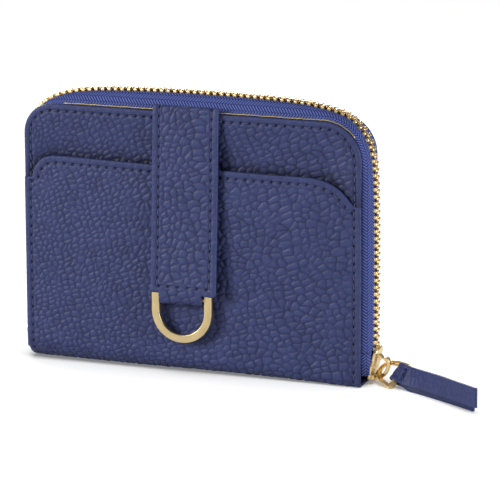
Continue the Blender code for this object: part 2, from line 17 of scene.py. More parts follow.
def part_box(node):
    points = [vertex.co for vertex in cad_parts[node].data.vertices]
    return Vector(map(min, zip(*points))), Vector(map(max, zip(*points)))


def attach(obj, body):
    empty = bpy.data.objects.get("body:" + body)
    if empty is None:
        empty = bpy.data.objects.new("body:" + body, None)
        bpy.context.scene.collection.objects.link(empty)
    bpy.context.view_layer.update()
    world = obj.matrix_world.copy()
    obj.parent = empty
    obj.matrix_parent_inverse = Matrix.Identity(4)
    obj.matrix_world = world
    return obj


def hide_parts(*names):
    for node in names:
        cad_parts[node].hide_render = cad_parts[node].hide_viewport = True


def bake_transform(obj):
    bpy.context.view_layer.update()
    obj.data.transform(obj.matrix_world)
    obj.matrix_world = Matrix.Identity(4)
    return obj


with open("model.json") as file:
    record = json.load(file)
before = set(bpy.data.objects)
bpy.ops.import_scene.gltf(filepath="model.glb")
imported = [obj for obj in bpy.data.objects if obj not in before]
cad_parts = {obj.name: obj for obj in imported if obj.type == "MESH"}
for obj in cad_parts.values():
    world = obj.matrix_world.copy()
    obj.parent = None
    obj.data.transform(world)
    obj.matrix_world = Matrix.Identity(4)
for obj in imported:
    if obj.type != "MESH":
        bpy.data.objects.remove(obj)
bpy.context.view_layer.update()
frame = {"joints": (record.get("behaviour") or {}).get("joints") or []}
JOINTS = {joint["name"]: joint for joint in frame["joints"]}

MM = 0.001

# Closed wallet
HALF_WIDTH = 58.0
COVER_TOP = 86.5
HALF_DEPTH = 9.0
RADIUS_RIGHT = 13.0
RADIUS_LEFT = 10.0
HINGE_Z = 7.0
OUTER_LEATHER = 0.9
PANEL_LEATHER = 0.9
PANEL_FACE_Y = 8.55
PANEL_SINK = 1.05
PIPING_Y = -7.55
PIPING_OFFSET = 0.45
PIPING_RADIUS = 0.22
SIDES = {"front": -1, "back": 1}

# Hinge creases, between which the leather bends, and the turn under the spine
SECTION_TOP = 12.0
SPINE_ARCH = 0.6
TURN_RADIUS = 5.0
TURN_LEFT = 8.6
TURN_MIDDLE = 4.6
TURN_RIGHT = 1.7

# Stitching
STITCH_PITCH = 3.0
STITCH_INSET = 2.2
THREAD_RADIUS = 0.24
GROOVE_WIDTH = 0.42
GROOVE_DEPTH = 0.24
HOLE_WIDTH = 0.55
HOLE_DEPTH = 0.50
SHOULDER_WIDTH = 0.9
SHOULDER_HEIGHT = 0.07
SPINE_SEAM_Z = 2.5
SEAM_ROWS = (-0.56, -0.28, 0.0, 0.28, 0.56)
EDGE_ROWS = (0.05, 0.14, 0.27, 0.44)

# Zip
CREST_HALF_WIDTH = 60.1
CHAIN_BOTTOM = 10.8
TAPE_FLANGE_Y = 6.35
TAPE_EDGE_Y = 2.6
TAPE_THICKNESS = 0.5
TAPE_TUCK = 0.7
TAPE_RIB = 0.15
WEAVE_COLUMN = 1.9
TOOTH_PITCH = 2.29
TOOTH_MIDDLE = 0.9
FIRST_TOOTH = {"front": 0.7, "back": 0.7 + TOOTH_PITCH / 2}

# Strap and ring
STRAP_LEFT = -12.4
STRAP_RIGHT = 10.2
STRAP_BOTTOM = 27.7
STRAP_SEAM_INSET = 2.3
TONGUE_LEFT = -9.4
TONGUE_RIGHT = 5.3
RING_CENTRE_X = -1.95
RING_PIVOT = (-11.5, 25.7)
RING_ARC_Z = 21.2
RING_OUTER = 10.4
RING_INNER = 7.7
RING_THICKNESS = 1.7
RING_LEG_TOP = 1.45
RING_BAR_HALF = 8.6

# Inside: distance of each card pocket's face from the middle plane and its top
CARD_SLOTS = ((4.4, 68.0), (3.6, 57.0), (2.8, 46.0))
COIN_POUCH = (46.0, 9.8, 58.0)
GUSSET_WIDTH = 3.5
LINING_THICKNESS = 0.44
LINING_INSET = 3.0


# ---- Small number helpers


def smooth(low, high, value):
    t = np.clip((value - low) / (high - low), 0.0, 1.0)
    return t * t * (3.0 - 2.0 * t)


def unit(rows):
    """Rows scaled to a length of 1."""
    return rows / np.maximum(np.linalg.norm(rows, axis=1), 1e-9)[:, None]


def left_of(ahead):
    """Plane directions turned a quarter to the left."""
    return np.column_stack((-ahead[:, 1], ahead[:, 0]))


def loop_left(loop):
    """Plane directions to the left of a closed loop, at each of its points."""
    return left_of(unit(np.roll(loop, -1, axis=0) - np.roll(loop, 1, axis=0)))


def running_length(line):
    """Distance along a polyline from its start to each of its points."""
    return np.concatenate(([0.0], np.cumsum(np.linalg.norm(np.diff(line, axis=0), axis=1))))


def look_up(s, length, table):
    """Rows of a table at running lengths."""
    return np.column_stack([np.interp(s, length, column) for column in table.T])


def stand(flat, y):
    """Points of an XZ plane as points in space, at one distance along Y or at one for each point."""
    return np.column_stack((flat[:, 0], np.broadcast_to(y, len(flat)), flat[:, 1]))


def hashed(i, j, seed):
    """A repeatable number from 0 to 1 for each whole pair."""
    a = np.sin(i * 127.1 + j * 311.7 + seed * 74.7) * 43758.5453
    return a - np.floor(a)


def soft_noise(u, v, seed):
    """Smooth noise from -1 to 1, with features about one unit wide."""
    i, j = np.floor(u), np.floor(v)
    a, b = u - i, v - j
    a, b = a * a * (3 - 2 * a), b * b * (3 - 2 * b)
    low = hashed(i, j, seed) * (1 - a) + hashed(i + 1, j, seed) * a
    high = hashed(i, j + 1, seed) * (1 - a) + hashed(i + 1, j + 1, seed) * a
    return (low * (1 - b) + high * b) * 2 - 1


def cell_distances(u, v, seed):
    """Distances to the nearest and next nearest of scattered points, and the nearest one's number."""
    i, j = np.floor(u), np.floor(v)
    near = np.full(u.shape, 9.0)
    after = np.full(u.shape, 9.0)
    number = np.zeros(u.shape)
    for di in (-1, 0, 1):
        for dj in (-1, 0, 1):
            ci, cj = i + di, j + dj
            pu = ci + 0.12 + 0.76 * hashed(ci, cj, seed)
            pv = cj + 0.12 + 0.76 * hashed(ci, cj, seed + 5.3)
            d = np.hypot(pu - u, pv - v)
            closer = d < near
            after = np.where(closer, near, np.minimum(after, d))
            number = np.where(closer, hashed(ci, cj, seed + 9.1), number)
            near = np.where(closer, d, near)
    return near, after, number


def pebbles(u, v, seed, size=2.35):
    """Grain of tumbled leather at a point of the hide: its height, and its tone with painted shade, both 0
    to 1.
    """
    wu = u + 1.0 * soft_noise(u / 9.0, v / 9.0, seed + 1) + 0.22 * soft_noise(u / 2.3, v / 2.3, seed + 2)
    wv = v + 1.0 * soft_noise(u / 9.0, v / 9.0, seed + 3) + 0.22 * soft_noise(u / 2.3, v / 2.3, seed + 4)
    lean = math.radians(16.0)
    local = size * np.exp(0.0024 * u)
    a = (wu * math.cos(lean) + wv * math.sin(lean)) / (local * 1.12)
    b = (wv * math.cos(lean) - wu * math.sin(lean)) / (local * 0.88)
    near, after, number = cell_distances(a, b, seed)
    border = after - near
    faint = smooth(0.0, 1.0, soft_noise(u / 2.6, v / 2.6, seed + 12))
    dome = 1.0 - (1.0 - np.clip(border / 0.72, 0.0, 1.0)) ** 1.9
    dome = 1.0 - (1.0 - dome) * (1.0 - 0.40 * faint)
    dome *= 0.84 + 0.16 * number
    line_near, line_after, _ = cell_distances(a * 2.1 + 7.0, b * 2.4, seed + 30)
    dome -= 0.10 * (1.0 - np.clip((line_after - line_near) / 0.35, 0.0, 1.0)) ** 1.5
    fold_near, fold_after, _ = cell_distances(a / 3.4 + 4.0, b / 1.9, seed + 20)
    fold = np.clip((fold_after - fold_near) / 0.15, 0.0, 1.0) ** 0.7
    dome *= 0.70 + 0.30 * fold
    # Painted shade: the tone darkens along the creases, in the larger folds and down each pebble's sides, so
    # the pebble tops are painted paler; cell numbers and faint patches vary it at random.
    line = np.clip(border / 0.20, 0.0, 1.0)
    tone_and_painted_shade = (0.42 + 0.58 * dome) * (1.0 - (1.0 - line) * (0.82 - 0.40 * faint)) * (0.88 + 0.12 * fold)
    return dome, tone_and_painted_shade


def arc(centre, radius, start, end, steps):
    """Points along an arc, both ends included."""
    angles = np.radians(np.linspace(start, end, steps + 1))
    return [(centre[0] + radius * math.cos(a), centre[1] + radius * math.sin(a)) for a in angles]


def resample(line, spacing, closed=False):
    """Points at an even spacing along a polyline."""
    line = np.asarray(line, float)
    if closed:
        line = np.vstack((line, line[:1]))
    steps = np.linalg.norm(np.diff(line, axis=0), axis=1)
    line = line[np.concatenate(([True], steps > 1e-9))]
    length = running_length(line)
    count = max(2, int(round(length[-1] / spacing)))
    out = look_up(np.linspace(0.0, length[-1], count + 1), length, line)
    return out[:-1] if closed else out


def rounded(points, steps=6):
    """A smooth curve through given points (Catmull-Rom)."""
    p = np.asarray(points, float)
    p = np.vstack((2 * p[0] - p[1], p, 2 * p[-1] - p[-2]))
    out = []
    for k in range(1, len(p) - 2):
        for t in np.arange(steps) / steps:
            out.append(0.5 * (2 * p[k] + (p[k + 1] - p[k - 1]) * t
                              + (2 * p[k - 1] - 5 * p[k] + 4 * p[k + 1] - p[k + 2]) * t * t
                              + (3 * p[k] - p[k - 1] - 3 * p[k + 1] + p[k + 2]) * t ** 3))
    out.append(p[-2])
    return np.array(out)


# ---- Materials


class Look:
    """A node material with short helpers for its procedural detail."""

    def __init__(self, name, colour, roughness, metallic=0.0):
        self.material = bpy.data.materials.new(name)
        self.material.use_nodes = True
        self.tree = self.material.node_tree
        self.shader = self.tree.nodes["Principled BSDF"]
        self.shader.inputs["Base Color"].default_value = (*colour, 1.0)
        self.shader.inputs["Roughness"].default_value = roughness
        self.shader.inputs["Metallic"].default_value = metallic
        self.place = self.node("ShaderNodeTexCoord").outputs["Object"]

    def node(self, kind, **settings):
        made = self.tree.nodes.new(kind)
        for key, value in settings.items():
            setattr(made, key, value)
        return made

    def link(self, source, target):
        self.tree.links.new(source, target)

    def texture(self, kind, scale, stretch=None):
        made = self.node(kind)
        made.inputs["Scale"].default_value = scale
        place = self.place
        if stretch:
            mapping = self.node("ShaderNodeMapping")
            mapping.inputs["Scale"].default_value = stretch
            self.link(place, mapping.inputs["Vector"])
            place = mapping.outputs["Vector"]
        self.link(place, made.inputs["Vector"])
        return made

    def noise(self, scale, detail=3.0, stretch=None):
        made = self.texture("ShaderNodeTexNoise", scale, stretch)
        made.inputs["Detail"].default_value = detail
        return made.outputs["Fac"]

    def grain(self):
        """The value that add_mesh stores for each point: a tone with painted shade in it."""
        return self.node("ShaderNodeAttribute", attribute_name="grain").outputs["Fac"]

    def ramp(self, source, stops):
        made = self.node("ShaderNodeValToRGB")
        elements = made.color_ramp.elements
        while len(elements) < len(stops):
            elements.new(0.5)
        for element, (position, colour) in zip(elements, stops):
            element.position = position
            element.color = (*colour, 1.0)
        self.link(source, made.inputs["Fac"])
        return made.outputs["Color"]

    def times(self, a, b):
        """Product of two colours."""
        made = self.node("ShaderNodeMix", data_type="RGBA", blend_type="MULTIPLY")
        made.inputs["Factor"].default_value = 1.0
        for source, name in ((a, "A"), (b, "B")):
            self.link(source, [s for s in made.inputs if s.name == name and s.type == "RGBA"][0])
        return [s for s in made.outputs if s.type == "RGBA"][0]

    def colour(self, source):
        self.link(source, self.shader.inputs["Base Color"])

    def roughness(self, source, low, high):
        made = self.node("ShaderNodeMapRange")
        made.inputs["To Min"].default_value = low
        made.inputs["To Max"].default_value = high
        self.link(source, made.inputs["Value"])
        self.link(made.outputs["Result"], self.shader.inputs["Roughness"])

    def bump(self, source, depth, under=None):
        """Bump with its depth in millimetres, on top of another bump."""
        made = self.node("ShaderNodeBump")
        made.inputs["Strength"].default_value = 1.0
        made.inputs["Distance"].default_value = depth * MM
        self.link(source, made.inputs["Height"])
        if under is not None:
            self.link(under, made.inputs["Normal"])
        self.link(made.outputs["Normal"], self.shader.inputs["Normal"])
        return made.outputs["Normal"]


def leather_look(name, high, low, crease_shade):
    """Pebbled leather: painted shade in the creases and stitch holes, pebble tops painted paler, fine pores
    and a soft waxy gloss.
    """
    look = Look(name, high, 0.5)
    # The two darkest stops are painted shade: near black for stitch holes, dark for creases.
    hole = tuple(0.12 * c for c in crease_shade)
    tone_and_painted_shade = look.ramp(look.grain(), [(0.0, hole), (0.12, crease_shade), (0.42, low), (0.90, high)])
    cloud = look.ramp(look.noise(140.0, 4.0), [(0.35, (0.90, 0.90, 0.90)), (0.65, (1.08, 1.08, 1.06))])
    fine = look.ramp(look.noise(1800.0), [(0.35, (0.86, 0.86, 0.86)), (0.65, (1.10, 1.10, 1.10))])
    look.colour(look.times(look.times(tone_and_painted_shade, cloud), fine))
    look.roughness(look.noise(900.0), 0.43, 0.60)
    pores = look.bump(look.noise(2600.0, 2.0), 0.05)
    look.bump(look.texture("ShaderNodeTexVoronoi", 1500.0).outputs["Distance"], 0.035, under=pores)
    look.shader.inputs["Specular IOR Level"].default_value = 0.26
    return look.material


def thread_look(name, colour):
    """Twisted sewing thread."""
    look = Look(name, colour, 0.62)
    look.shader.inputs["Sheen Weight"].default_value = 0.25
    twist = look.noise(3500.0, 1.0, stretch=(1.0, 1.0, 2.5))
    look.colour(look.ramp(twist, [(0.3, tuple(0.6 * c for c in colour)), (0.7, colour)]))
    look.bump(twist, 0.06)
    return look.material


def tape_look(name, high, low):
    """Woven zip tape: its ribs are modelled, painted shade darkens the hollows between them, and the yarn is
    here.
    """
    look = Look(name, high, 0.78)
    look.shader.inputs["Specular IOR Level"].default_value = 0.25
    # Painted shade: the tone falls to near black in the weave's hollows, over the real herringbone pattern.
    tone_and_painted_shade = look.ramp(look.grain(), [(0.22, low), (0.80, high)])
    yarn = look.ramp(look.noise(2800.0, 2.0), [(0.3, (0.80, 0.80, 0.82)), (0.7, (1.12, 1.12, 1.10))])
    look.colour(look.times(tone_and_painted_shade, yarn))
    look.bump(look.noise(4200.0, 1.0), 0.05)
    return look.material


def metal_look(name, colour, shade, roughness):
    """Plated metal: faint brushing, small wear marks and uneven gloss."""
    look = Look(name, colour, roughness, 1.0)
    patch = look.noise(260.0, 4.0)
    look.colour(look.ramp(patch, [(0.25, shade), (0.6, colour)]))
    look.roughness(look.noise(1500.0), roughness - 0.06, roughness + 0.10)
    look.bump(look.noise(2500.0, 2.0, stretch=(1.0, 1.0, 0.35)), 0.006)
    return look.material


def plain_look(name, colour, roughness, scale, depth):
    """Card or smooth cloth with a fine random tooth."""
    look = Look(name, colour, roughness)
    speck = look.noise(scale, 4.0)
    look.colour(look.ramp(speck, [(0.3, tuple(0.82 * c for c in colour)), (0.7, colour)]))
    look.bump(speck, depth)
    return look.material


LEATHER = leather_look("pebbled_leather", (0.041, 0.053, 0.155), (0.032, 0.041, 0.124),
                       (0.012, 0.016, 0.055))
# The tab's leather is a darker copy of the pebbled leather: painted shade for the tab.
TAB_PAINTED_SHADE_LEATHER = leather_look("tab_painted_shade_leather", (0.026, 0.038, 0.135), (0.024, 0.034, 0.122),
                           (0.019, 0.026, 0.096))
THREAD = thread_look("blue_thread", (0.026, 0.036, 0.140))
TAPE = tape_look("woven_tape", (0.105, 0.145, 0.440), (0.010, 0.015, 0.080))
RING_GOLD = metal_look("ring_gold", (0.51, 0.40, 0.215), (0.44, 0.34, 0.175), 0.36)
BRASS = metal_look("zip_brass", (0.76, 0.57, 0.29), (0.60, 0.43, 0.19), 0.31)
LINING = plain_look("lining_cloth", (0.020, 0.024, 0.070), 0.8, 2600.0, 0.05)
BOARD = plain_look("grey_board", (0.30, 0.29, 0.27), 0.9, 900.0, 0.03)


# ---- Meshes


def add_mesh(name, points, faces, material, grain=None, sharp=None):
    """A smooth-shaded mesh from points in millimetres; grain is a value per point, a tone with painted shade
    in it.
    """
    mesh = bpy.data.meshes.new(name)
    mesh.from_pydata((np.asarray(points, float) * MM).tolist(), [], faces)
    mesh.materials.append(material)
    if grain is not None:
        values = mesh.attributes.new("grain", "FLOAT", "POINT").data
        values.foreach_set("value", np.asarray(grain, np.float32))
    work = bmesh.new()
    work.from_mesh(mesh)
    bmesh.ops.recalc_face_normals(work, faces=work.faces)
    work.to_mesh(mesh)
    work.free()
    mesh.shade_smooth()
    if sharp is not None:
        mesh.set_sharp_from_angle(angle=math.radians(sharp))
    obj = bpy.data.objects.new(name, mesh)
    bpy.context.scene.collection.objects.link(obj)
    return obj


def loft_faces(rings, count, closed=False):
    """Faces through rings of points that follow one another, with end caps unless it is closed."""
    faces = []
    last = rings if closed else rings - 1
    for step in range(last):
        near, far = step * count, ((step + 1) % rings) * count
        for k in range(count):
            after = (k + 1) % count
            faces.append((near + k, near + after, far + after, far + k))
    if not closed:
        faces.append(tuple(reversed(range(count))))
        faces.append(tuple(range((rings - 1) * count, rings * count)))
    return faces


def add_loft(name, rings, material, closed=False, **more):
    faces = loft_faces(len(rings), len(rings[0]), closed)
    return add_mesh(name, np.concatenate(rings), faces, material, **more)


def merge(parts):
    """Several closed shapes as one list of points and faces."""
    points, faces = [], []
    for part_points, part_faces in parts:
        start = len(points)
        points.extend(part_points)
        faces.extend([tuple(k + start for k in f) for f in part_faces])
    return points, faces


def finish_piece(obj, body, slot, *nodes):
    """Hang a piece on its body and hide the solids that it stands for."""
    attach(obj, body)
    if nodes:
        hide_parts(*nodes)


def bend_at_spine(obj):
    """Bake a piece's placement into its points."""
    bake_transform(obj)


def search_tree(points):
    """A tree that finds the nearest of some sheet points."""
    tree = KDTree(len(points))
    for k, point in enumerate(points):
        tree.insert((point[0], point[1], 0.0), k)
    tree.balance()
    return tree


def distances(tree, points):
    return np.array([tree.find((point[0], point[1], 0.0))[2] for point in points])


def triangulate(loop, inside):
    """Points, faces and origins of triangles that fill a loop and use the points inside it."""
    corners = [tuple(p) for p in loop] + [tuple(p) for p in inside]
    edges = [(k, (k + 1) % len(loop)) for k in range(len(loop))]
    found, _, faces, origin, _, _ = delaunay_2d_cdt(corners, edges, [], 1, 1e-5)
    return found, faces, origin


class Seam:
    """A stitched line on a sheet: where it runs and how far apart its stitches are."""

    def __init__(self, line, pitch=STITCH_PITCH):
        self.line = resample(line, 0.05)
        self.length = running_length(self.line)
        self.count = max(1, int(round(self.length[-1] / pitch)))
        self.pitch = self.length[-1] / self.count
        self.tree = search_tree(self.line)

    def measure(self, points, reach):
        """Distance from the line and running length along it, for points nearer than reach."""
        away = np.full(len(points), reach)
        along = np.zeros(len(points))
        low, high = self.line.min(0) - reach, self.line.max(0) + reach
        inside = np.all((points > low) & (points < high), axis=1)
        for k in np.nonzero(inside)[0]:
            _, index, distance = self.tree.find((points[k][0], points[k][1], 0.0))
            if distance < reach:
                away[k] = distance
                along[k] = self.length[index]
        return away, along

    def at(self, s):
        """Points of the line at running lengths, and the direction to its left there."""
        places = [look_up(s + step, self.length, self.line) for step in (-0.1, 0.0, 0.1)]
        return places[1], left_of(unit(places[2] - places[0]))


def sheet_triangles(outline, spacing, seams, dense_from=None):
    """Points and triangles that fill an outline: fine rows near its edge and its seams."""
    loop = resample(outline, 0.32, closed=True)
    edge = search_tree(resample(outline, 0.04, closed=True))
    inward = loop_left(loop)
    extra = [loop + inward * inset for inset in EDGE_ROWS]
    for seam in seams:
        middle, side = seam.at(np.arange(0.0, seam.length[-1], 0.28))
        extra += [middle + side * offset for offset in SEAM_ROWS]
    low, high = loop.min(0), loop.max(0)
    if dense_from is not None:
        low = np.maximum(low, dense_from)
    us = np.arange(low[0], high[0], spacing)
    vs = np.arange(low[1], high[1], spacing * 0.866)
    grid_u, grid_v = np.meshgrid(us, vs)
    grid_u = grid_u + (np.arange(len(vs)) % 2)[:, None] * spacing / 2
    field = np.column_stack((grid_u.ravel(), grid_v.ravel()))
    points = np.vstack(extra + [field])
    is_extra = np.arange(len(points)) < len(points) - len(field)
    away = distances(edge, points)
    keep = np.where(is_extra, away > EDGE_ROWS[0] * 0.9, away > EDGE_ROWS[-1] + 0.4 * spacing)
    for seam in seams:
        distance, _ = seam.measure(points, 1.0)
        keep &= is_extra | (distance > SEAM_ROWS[-1] + 0.4 * spacing)
    found, faces, origin = triangulate(loop, points[keep])
    found = np.array(found)
    order = np.full(len(loop), -1)
    for new, old in enumerate(origin):
        for k in old:
            if k < len(loop):
                order[k] = new
    distance = distances(edge, found)
    distance[order] = 0.0
    return found, [tuple(f) for f in faces], order, distance


def leather_sheet(name, outline, to_space, thickness, seams, spacing, seed, material=LEATHER, relief=0.36,
                  border=2.0, roll=0.42, back_rows=(), dense_from=None, swell=0.0, size=2.35, inner_face_shade=0.6,
                  painted_shade_line=None):
    """A closed piece of leather with pebbles, a turned edge and stitch holes, with painted shade in its seam
    grooves and holes.

    to_space(points, height) places sheet points in space, at a height above the outer face.
    back_rows are the sheet heights at which the inner face is allowed to bend, inner_face_shade is that
    face's tone, which is painted shade on the tab, and painted_shade_line is a line towards which the piece
    sinks and takes painted shade."""
    flat, faces, rim, away = sheet_triangles(outline, spacing, seams, dense_from)
    u, v = flat[:, 0], flat[:, 1]
    grain, tone_and_painted_shade = pebbles(u, v, seed, size)
    height = np.zeros(len(flat))
    calm = 0.28 + 0.72 * smooth(border - 0.4, border + 0.7, away)
    painted_seam_shade = np.zeros(len(flat))
    for seam in seams:
        distance, along = seam.measure(flat, 1.6)
        phase = (along / seam.pitch + 0.5) % 1.0 - 0.5
        groove = np.exp(-(distance / GROOVE_WIDTH) ** 2)
        pull = np.exp(-(np.abs(phase) * seam.pitch / HOLE_WIDTH) ** 2)
        height -= groove * (GROOVE_DEPTH + HOLE_DEPTH * pull)
        near = np.exp(-(distance / SHOULDER_WIDTH) ** 2)
        height += SHOULDER_HEIGHT * (near - groove) * (1 - pull)
        calm = np.minimum(calm, 1.0 - 0.75 * near)
        # Painted shade along the stitch groove, darkest in the holes.
        painted_seam_shade = np.maximum(painted_seam_shade, groove * (0.62 + 0.38 * pull))
    height += 0.05 * np.exp(-((away - 0.95) / 0.32) ** 2) * (border > 1.5)
    inner = np.clip(roll - away, 0.0, roll)
    edge_drop = roll - np.sqrt(np.maximum(roll * roll - inner * inner, 0.0))
    height += relief * (grain - 0.75) * calm - edge_drop
    height += swell * smooth(0.0, 7.0, away)
    height += 0.05 * soft_noise(u / 14.0, v / 14.0, seed + 40) * smooth(0.5, 4.0, away)
    shade = (0.75 + (tone_and_painted_shade - 0.75) * calm) * (1.0 - painted_seam_shade)
    # Painted shade: the piece darkens towards this line, and it also sinks there.
    if painted_shade_line is not None:
        distance, _ = Seam(painted_shade_line).measure(flat, 8.0)
        depth = np.exp(-(distance / 4.0) ** 1.6)
        shade *= 1.0 - 0.85 * depth
        height -= 0.40 * depth
    loop = flat[rim]
    count = len(loop)
    points = np.vstack((to_space(flat, height), to_space(loop, -0.5 * thickness),
                        to_space(loop, -thickness)))
    first, second = len(flat), len(flat) + count
    side = []
    for k in range(count):
        after = (k + 1) % count
        side.append((int(rim[k]), int(rim[after]), first + after, first + k))
        side.append((first + k, first + after, second + after, second + k))
    us = np.linspace(loop[:, 0].min() + 1.0, loop[:, 0].max() - 1.0, 24)
    found, inner_faces, origin = triangulate(loop, [(x, row) for row in back_rows for x in us])
    number = np.full(len(found), -1)
    added = []
    for new, old in enumerate(origin):
        if old and old[0] < count:
            number[new] = second + old[0]
        else:
            number[new] = second + count + len(added)
            added.append(found[new])
    if added:
        points = np.vstack((points, to_space(np.array(added), -thickness)))
    inside = [tuple(int(number[k]) for k in reversed(f)) for f in inner_faces]
    values = np.concatenate((shade, np.full(2 * count, 0.6), np.full(len(added), inner_face_shade)))
    return add_mesh(name, points, faces + side + inside, material, values)


def stitch_mesh(name, seams, to_space, radius=THREAD_RADIUS, lift=0.10):
    """Threads of one or more seams: each stitch rises out of one hole and dives into the next."""
    rings, sides, slant = 9, 8, 0.10
    t = np.linspace(0.0, 1.0, rings)
    tail = np.abs(2 * t - 1)[:, None] ** 3
    girth = radius * (1.0 - 0.30 * tail)
    angles = np.linspace(0, 2 * math.pi, sides, endpoint=False)
    across = slant * (2 * t - 1)[:, None] + girth * np.cos(angles)
    rise = lift - 0.18 - 0.50 * tail + girth * 0.8 * np.sin(angles)
    faces = loft_faces(rings, sides)
    parts = []
    for seam in seams:
        for k in range(seam.count):
            middle, side = seam.at((k + 0.13 + 0.74 * t) * seam.pitch)
            around = middle[:, None] + side[:, None] * across[..., None]
            parts.append((to_space(around.reshape(-1, 2), rise.ravel()), faces))
    return add_mesh(name, *merge(parts), THREAD)


# ---- Covers: where a sheet point lies in space


def corner_radius(x):
    """The turn under the spine is full at the left end and nearly sharp at the right end."""
    t = x / HALF_WIDTH
    return TURN_MIDDLE + np.where(t < 0, TURN_LEFT - TURN_MIDDLE, TURN_RIGHT - TURN_MIDDLE) * t * t


# Sheet height of the leather's edge in the middle of the spine: a turn is shorter than a square corner
SECTION_START = SECTION_TOP - (HALF_DEPTH + SECTION_TOP - 0.429 * TURN_RADIUS)


def cover_space(side):
    """Places points of the outer leather: side is -1 for the front and 1 for the back."""
    def to_space(points, height):
        x, w = points[:, 0], points[:, 1]
        radius = corner_radius(x)
        arch = SPINE_ARCH * (1.0 - (x / HALF_WIDTH) ** 2)
        flat, turn = HALF_DEPTH - radius, radius * math.pi / 2
        total = flat + turn + SECTION_TOP - arch - radius
        p = (w - SECTION_START) / (SECTION_TOP - SECTION_START) * total
        angle = np.clip((p - flat) / radius, 0.0, math.pi / 2)
        above = w >= SECTION_TOP
        y = np.where(above, HALF_DEPTH, np.minimum(p, flat) + radius * np.sin(angle))
        z = np.where(above, w, arch + radius * (1 - np.cos(angle)) + np.maximum(p - flat - turn, 0.0))
        normal_y = np.where(above, 1.0, np.sin(angle))
        normal_z = np.where(above, 0.0, -np.cos(angle))
        return np.column_stack((x, side * (y + height * normal_y), z + height * normal_z))
    return to_space


def panel_space(points, height):
    """The front panel stands nearly flush at its sewn edge and sinks in behind the slip pocket."""
    sink = smooth(2.5, 12.0, HALF_WIDTH - np.abs(points[:, 0])) * smooth(2.0, 15.0, COVER_TOP - points[:, 1])
    return stand(points, -(PANEL_FACE_Y - PANEL_SINK * sink + height))


def round_corners(inset):
    """The cover's upper corners, moved inwards: the left one and the right one."""
    left = arc((RADIUS_LEFT - HALF_WIDTH, COVER_TOP - RADIUS_LEFT), RADIUS_LEFT - inset, 90, 180, 20)
    right = arc((HALF_WIDTH - RADIUS_RIGHT, COVER_TOP - RADIUS_RIGHT), RADIUS_RIGHT - inset, 0, 90, 20)
    return left, right


def cover_outline(bottom, inset=0.0):
    """A cover's outline above a straight lower edge."""
    side = HALF_WIDTH - inset
    left, right = round_corners(inset)
    return [(-side, bottom), (side, bottom)] + right + left


MOUTH = [(-55.4, 61.8), (-54.9, 63.9), (-54.1, 65.5), (-52.4, 67.6), (-50.2, 68.8), (-46.0, 69.4),
         (-30.0, 69.1), (-10.0, 68.7), (12.0, 68.3), (30.0, 68.1), (38.0, 68.1), (42.9, 67.8), (47.0, 66.8),
         (50.5, 64.9), (53.2, 62.4), (55.5, 59.6)]


def mouth_line(drop, inset):
    """The slip pocket's mouth from left to right, moved down along its own normal."""
    line = rounded(MOUTH)
    line = line - left_of(unit(np.gradient(line, axis=0))) * drop
    return line[np.abs(line[:, 0]) < HALF_WIDTH - inset]


def perimeter_seam(bottom):
    """The seam along a cover's sides and top, from its right foot to its left foot."""
    side = HALF_WIDTH - STITCH_INSET
    left, right = round_corners(STITCH_INSET)
    return Seam([(side, bottom)] + right + left + [(-side, bottom)])


def outer_leather(face, outline, seams, threads_name, spacing, seed, *nodes):
    """One sheet from the middle of the spine up a cover, and its threads."""
    place = cover_space(SIDES[face])
    rows = [SECTION_START + 1.2 * k for k in range(1, 16)]
    leather = leather_sheet(f"{face}_leather", outline, place, OUTER_LEATHER, seams, spacing, seed,
                            back_rows=rows, swell=0.25)
    threads = stitch_mesh(threads_name, seams, place)
    for piece in (leather, threads):
        bend_at_spine(piece)
    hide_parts(*nodes)


def build_outer_leather():
    mouth = rounded(MOUTH)
    outline = [(-HALF_WIDTH, SECTION_START), (HALF_WIDTH, SECTION_START), (HALF_WIDTH, MOUTH[-1][1])]
    outline += [tuple(p) for p in mouth[::-1]] + [(-HALF_WIDTH, MOUTH[0][1])]
    side = HALF_WIDTH - STITCH_INSET
    line = mouth_line(2.35, 4.6)
    line = np.vstack(([(0.6 - side, line[0][1] - 1.0)], line, [(side - 0.6, line[-1][1] - 1.0)]))
    seams = [Seam([(side, SPINE_SEAM_Z), (side, 58.6)]), Seam([(-side, SPINE_SEAM_Z), (-side, 60.6)]),
             Seam(line)]
    outer_leather("front", outline, seams, "front_pocket_stitches", 0.34, 3, "front_pocket", "spine_leather")
    outer_leather("back", cover_outline(SECTION_START), [perimeter_seam(SPINE_SEAM_Z)], "back_stitches",
                  0.42, 7, "back_panel")


def build_front_panel():
    seam = perimeter_seam(58.0)
    rows = [12.0 + 4.0 * k for k in range(18)]
    # The panel sinks and takes painted shade towards the slip pocket's mouth.
    panel = leather_sheet("front_panel_leather", cover_outline(HINGE_Z + 0.6), panel_space, PANEL_LEATHER,
                          [seam], 0.34, 11, dense_from=(-60.0, 56.0), back_rows=rows, painted_shade_line=rounded(MOUTH))
    finish_piece(panel, "front_cover", "leather", "front_panel")
    finish_piece(stitch_mesh("front_panel_stitches", [seam], panel_space), "front_cover", "leather")


# ---- Strap


STRAP_PROFILE = [(-9.40, 37.5), (-9.38, 33.0), (-9.4, 29.0), (-9.5, 26.6), (-9.95, 24.7), (-11.4, 23.45),
                 (-12.9, 24.1), (-13.6, 25.6), (-13.65, 27.6), (-13.45, 29.5), (-13.0, 33.5), (-12.65, 38.5),
                 (-12.05, 46.0), (-11.4, 56.0), (-10.95, 66.0), (-10.6, 74.0), (-10.25, 82.0), (-10.0, 86.0),
                 (-9.65, 88.0), (-8.9, 88.85), (-8.1, 88.3), (-7.85, 87.1)]


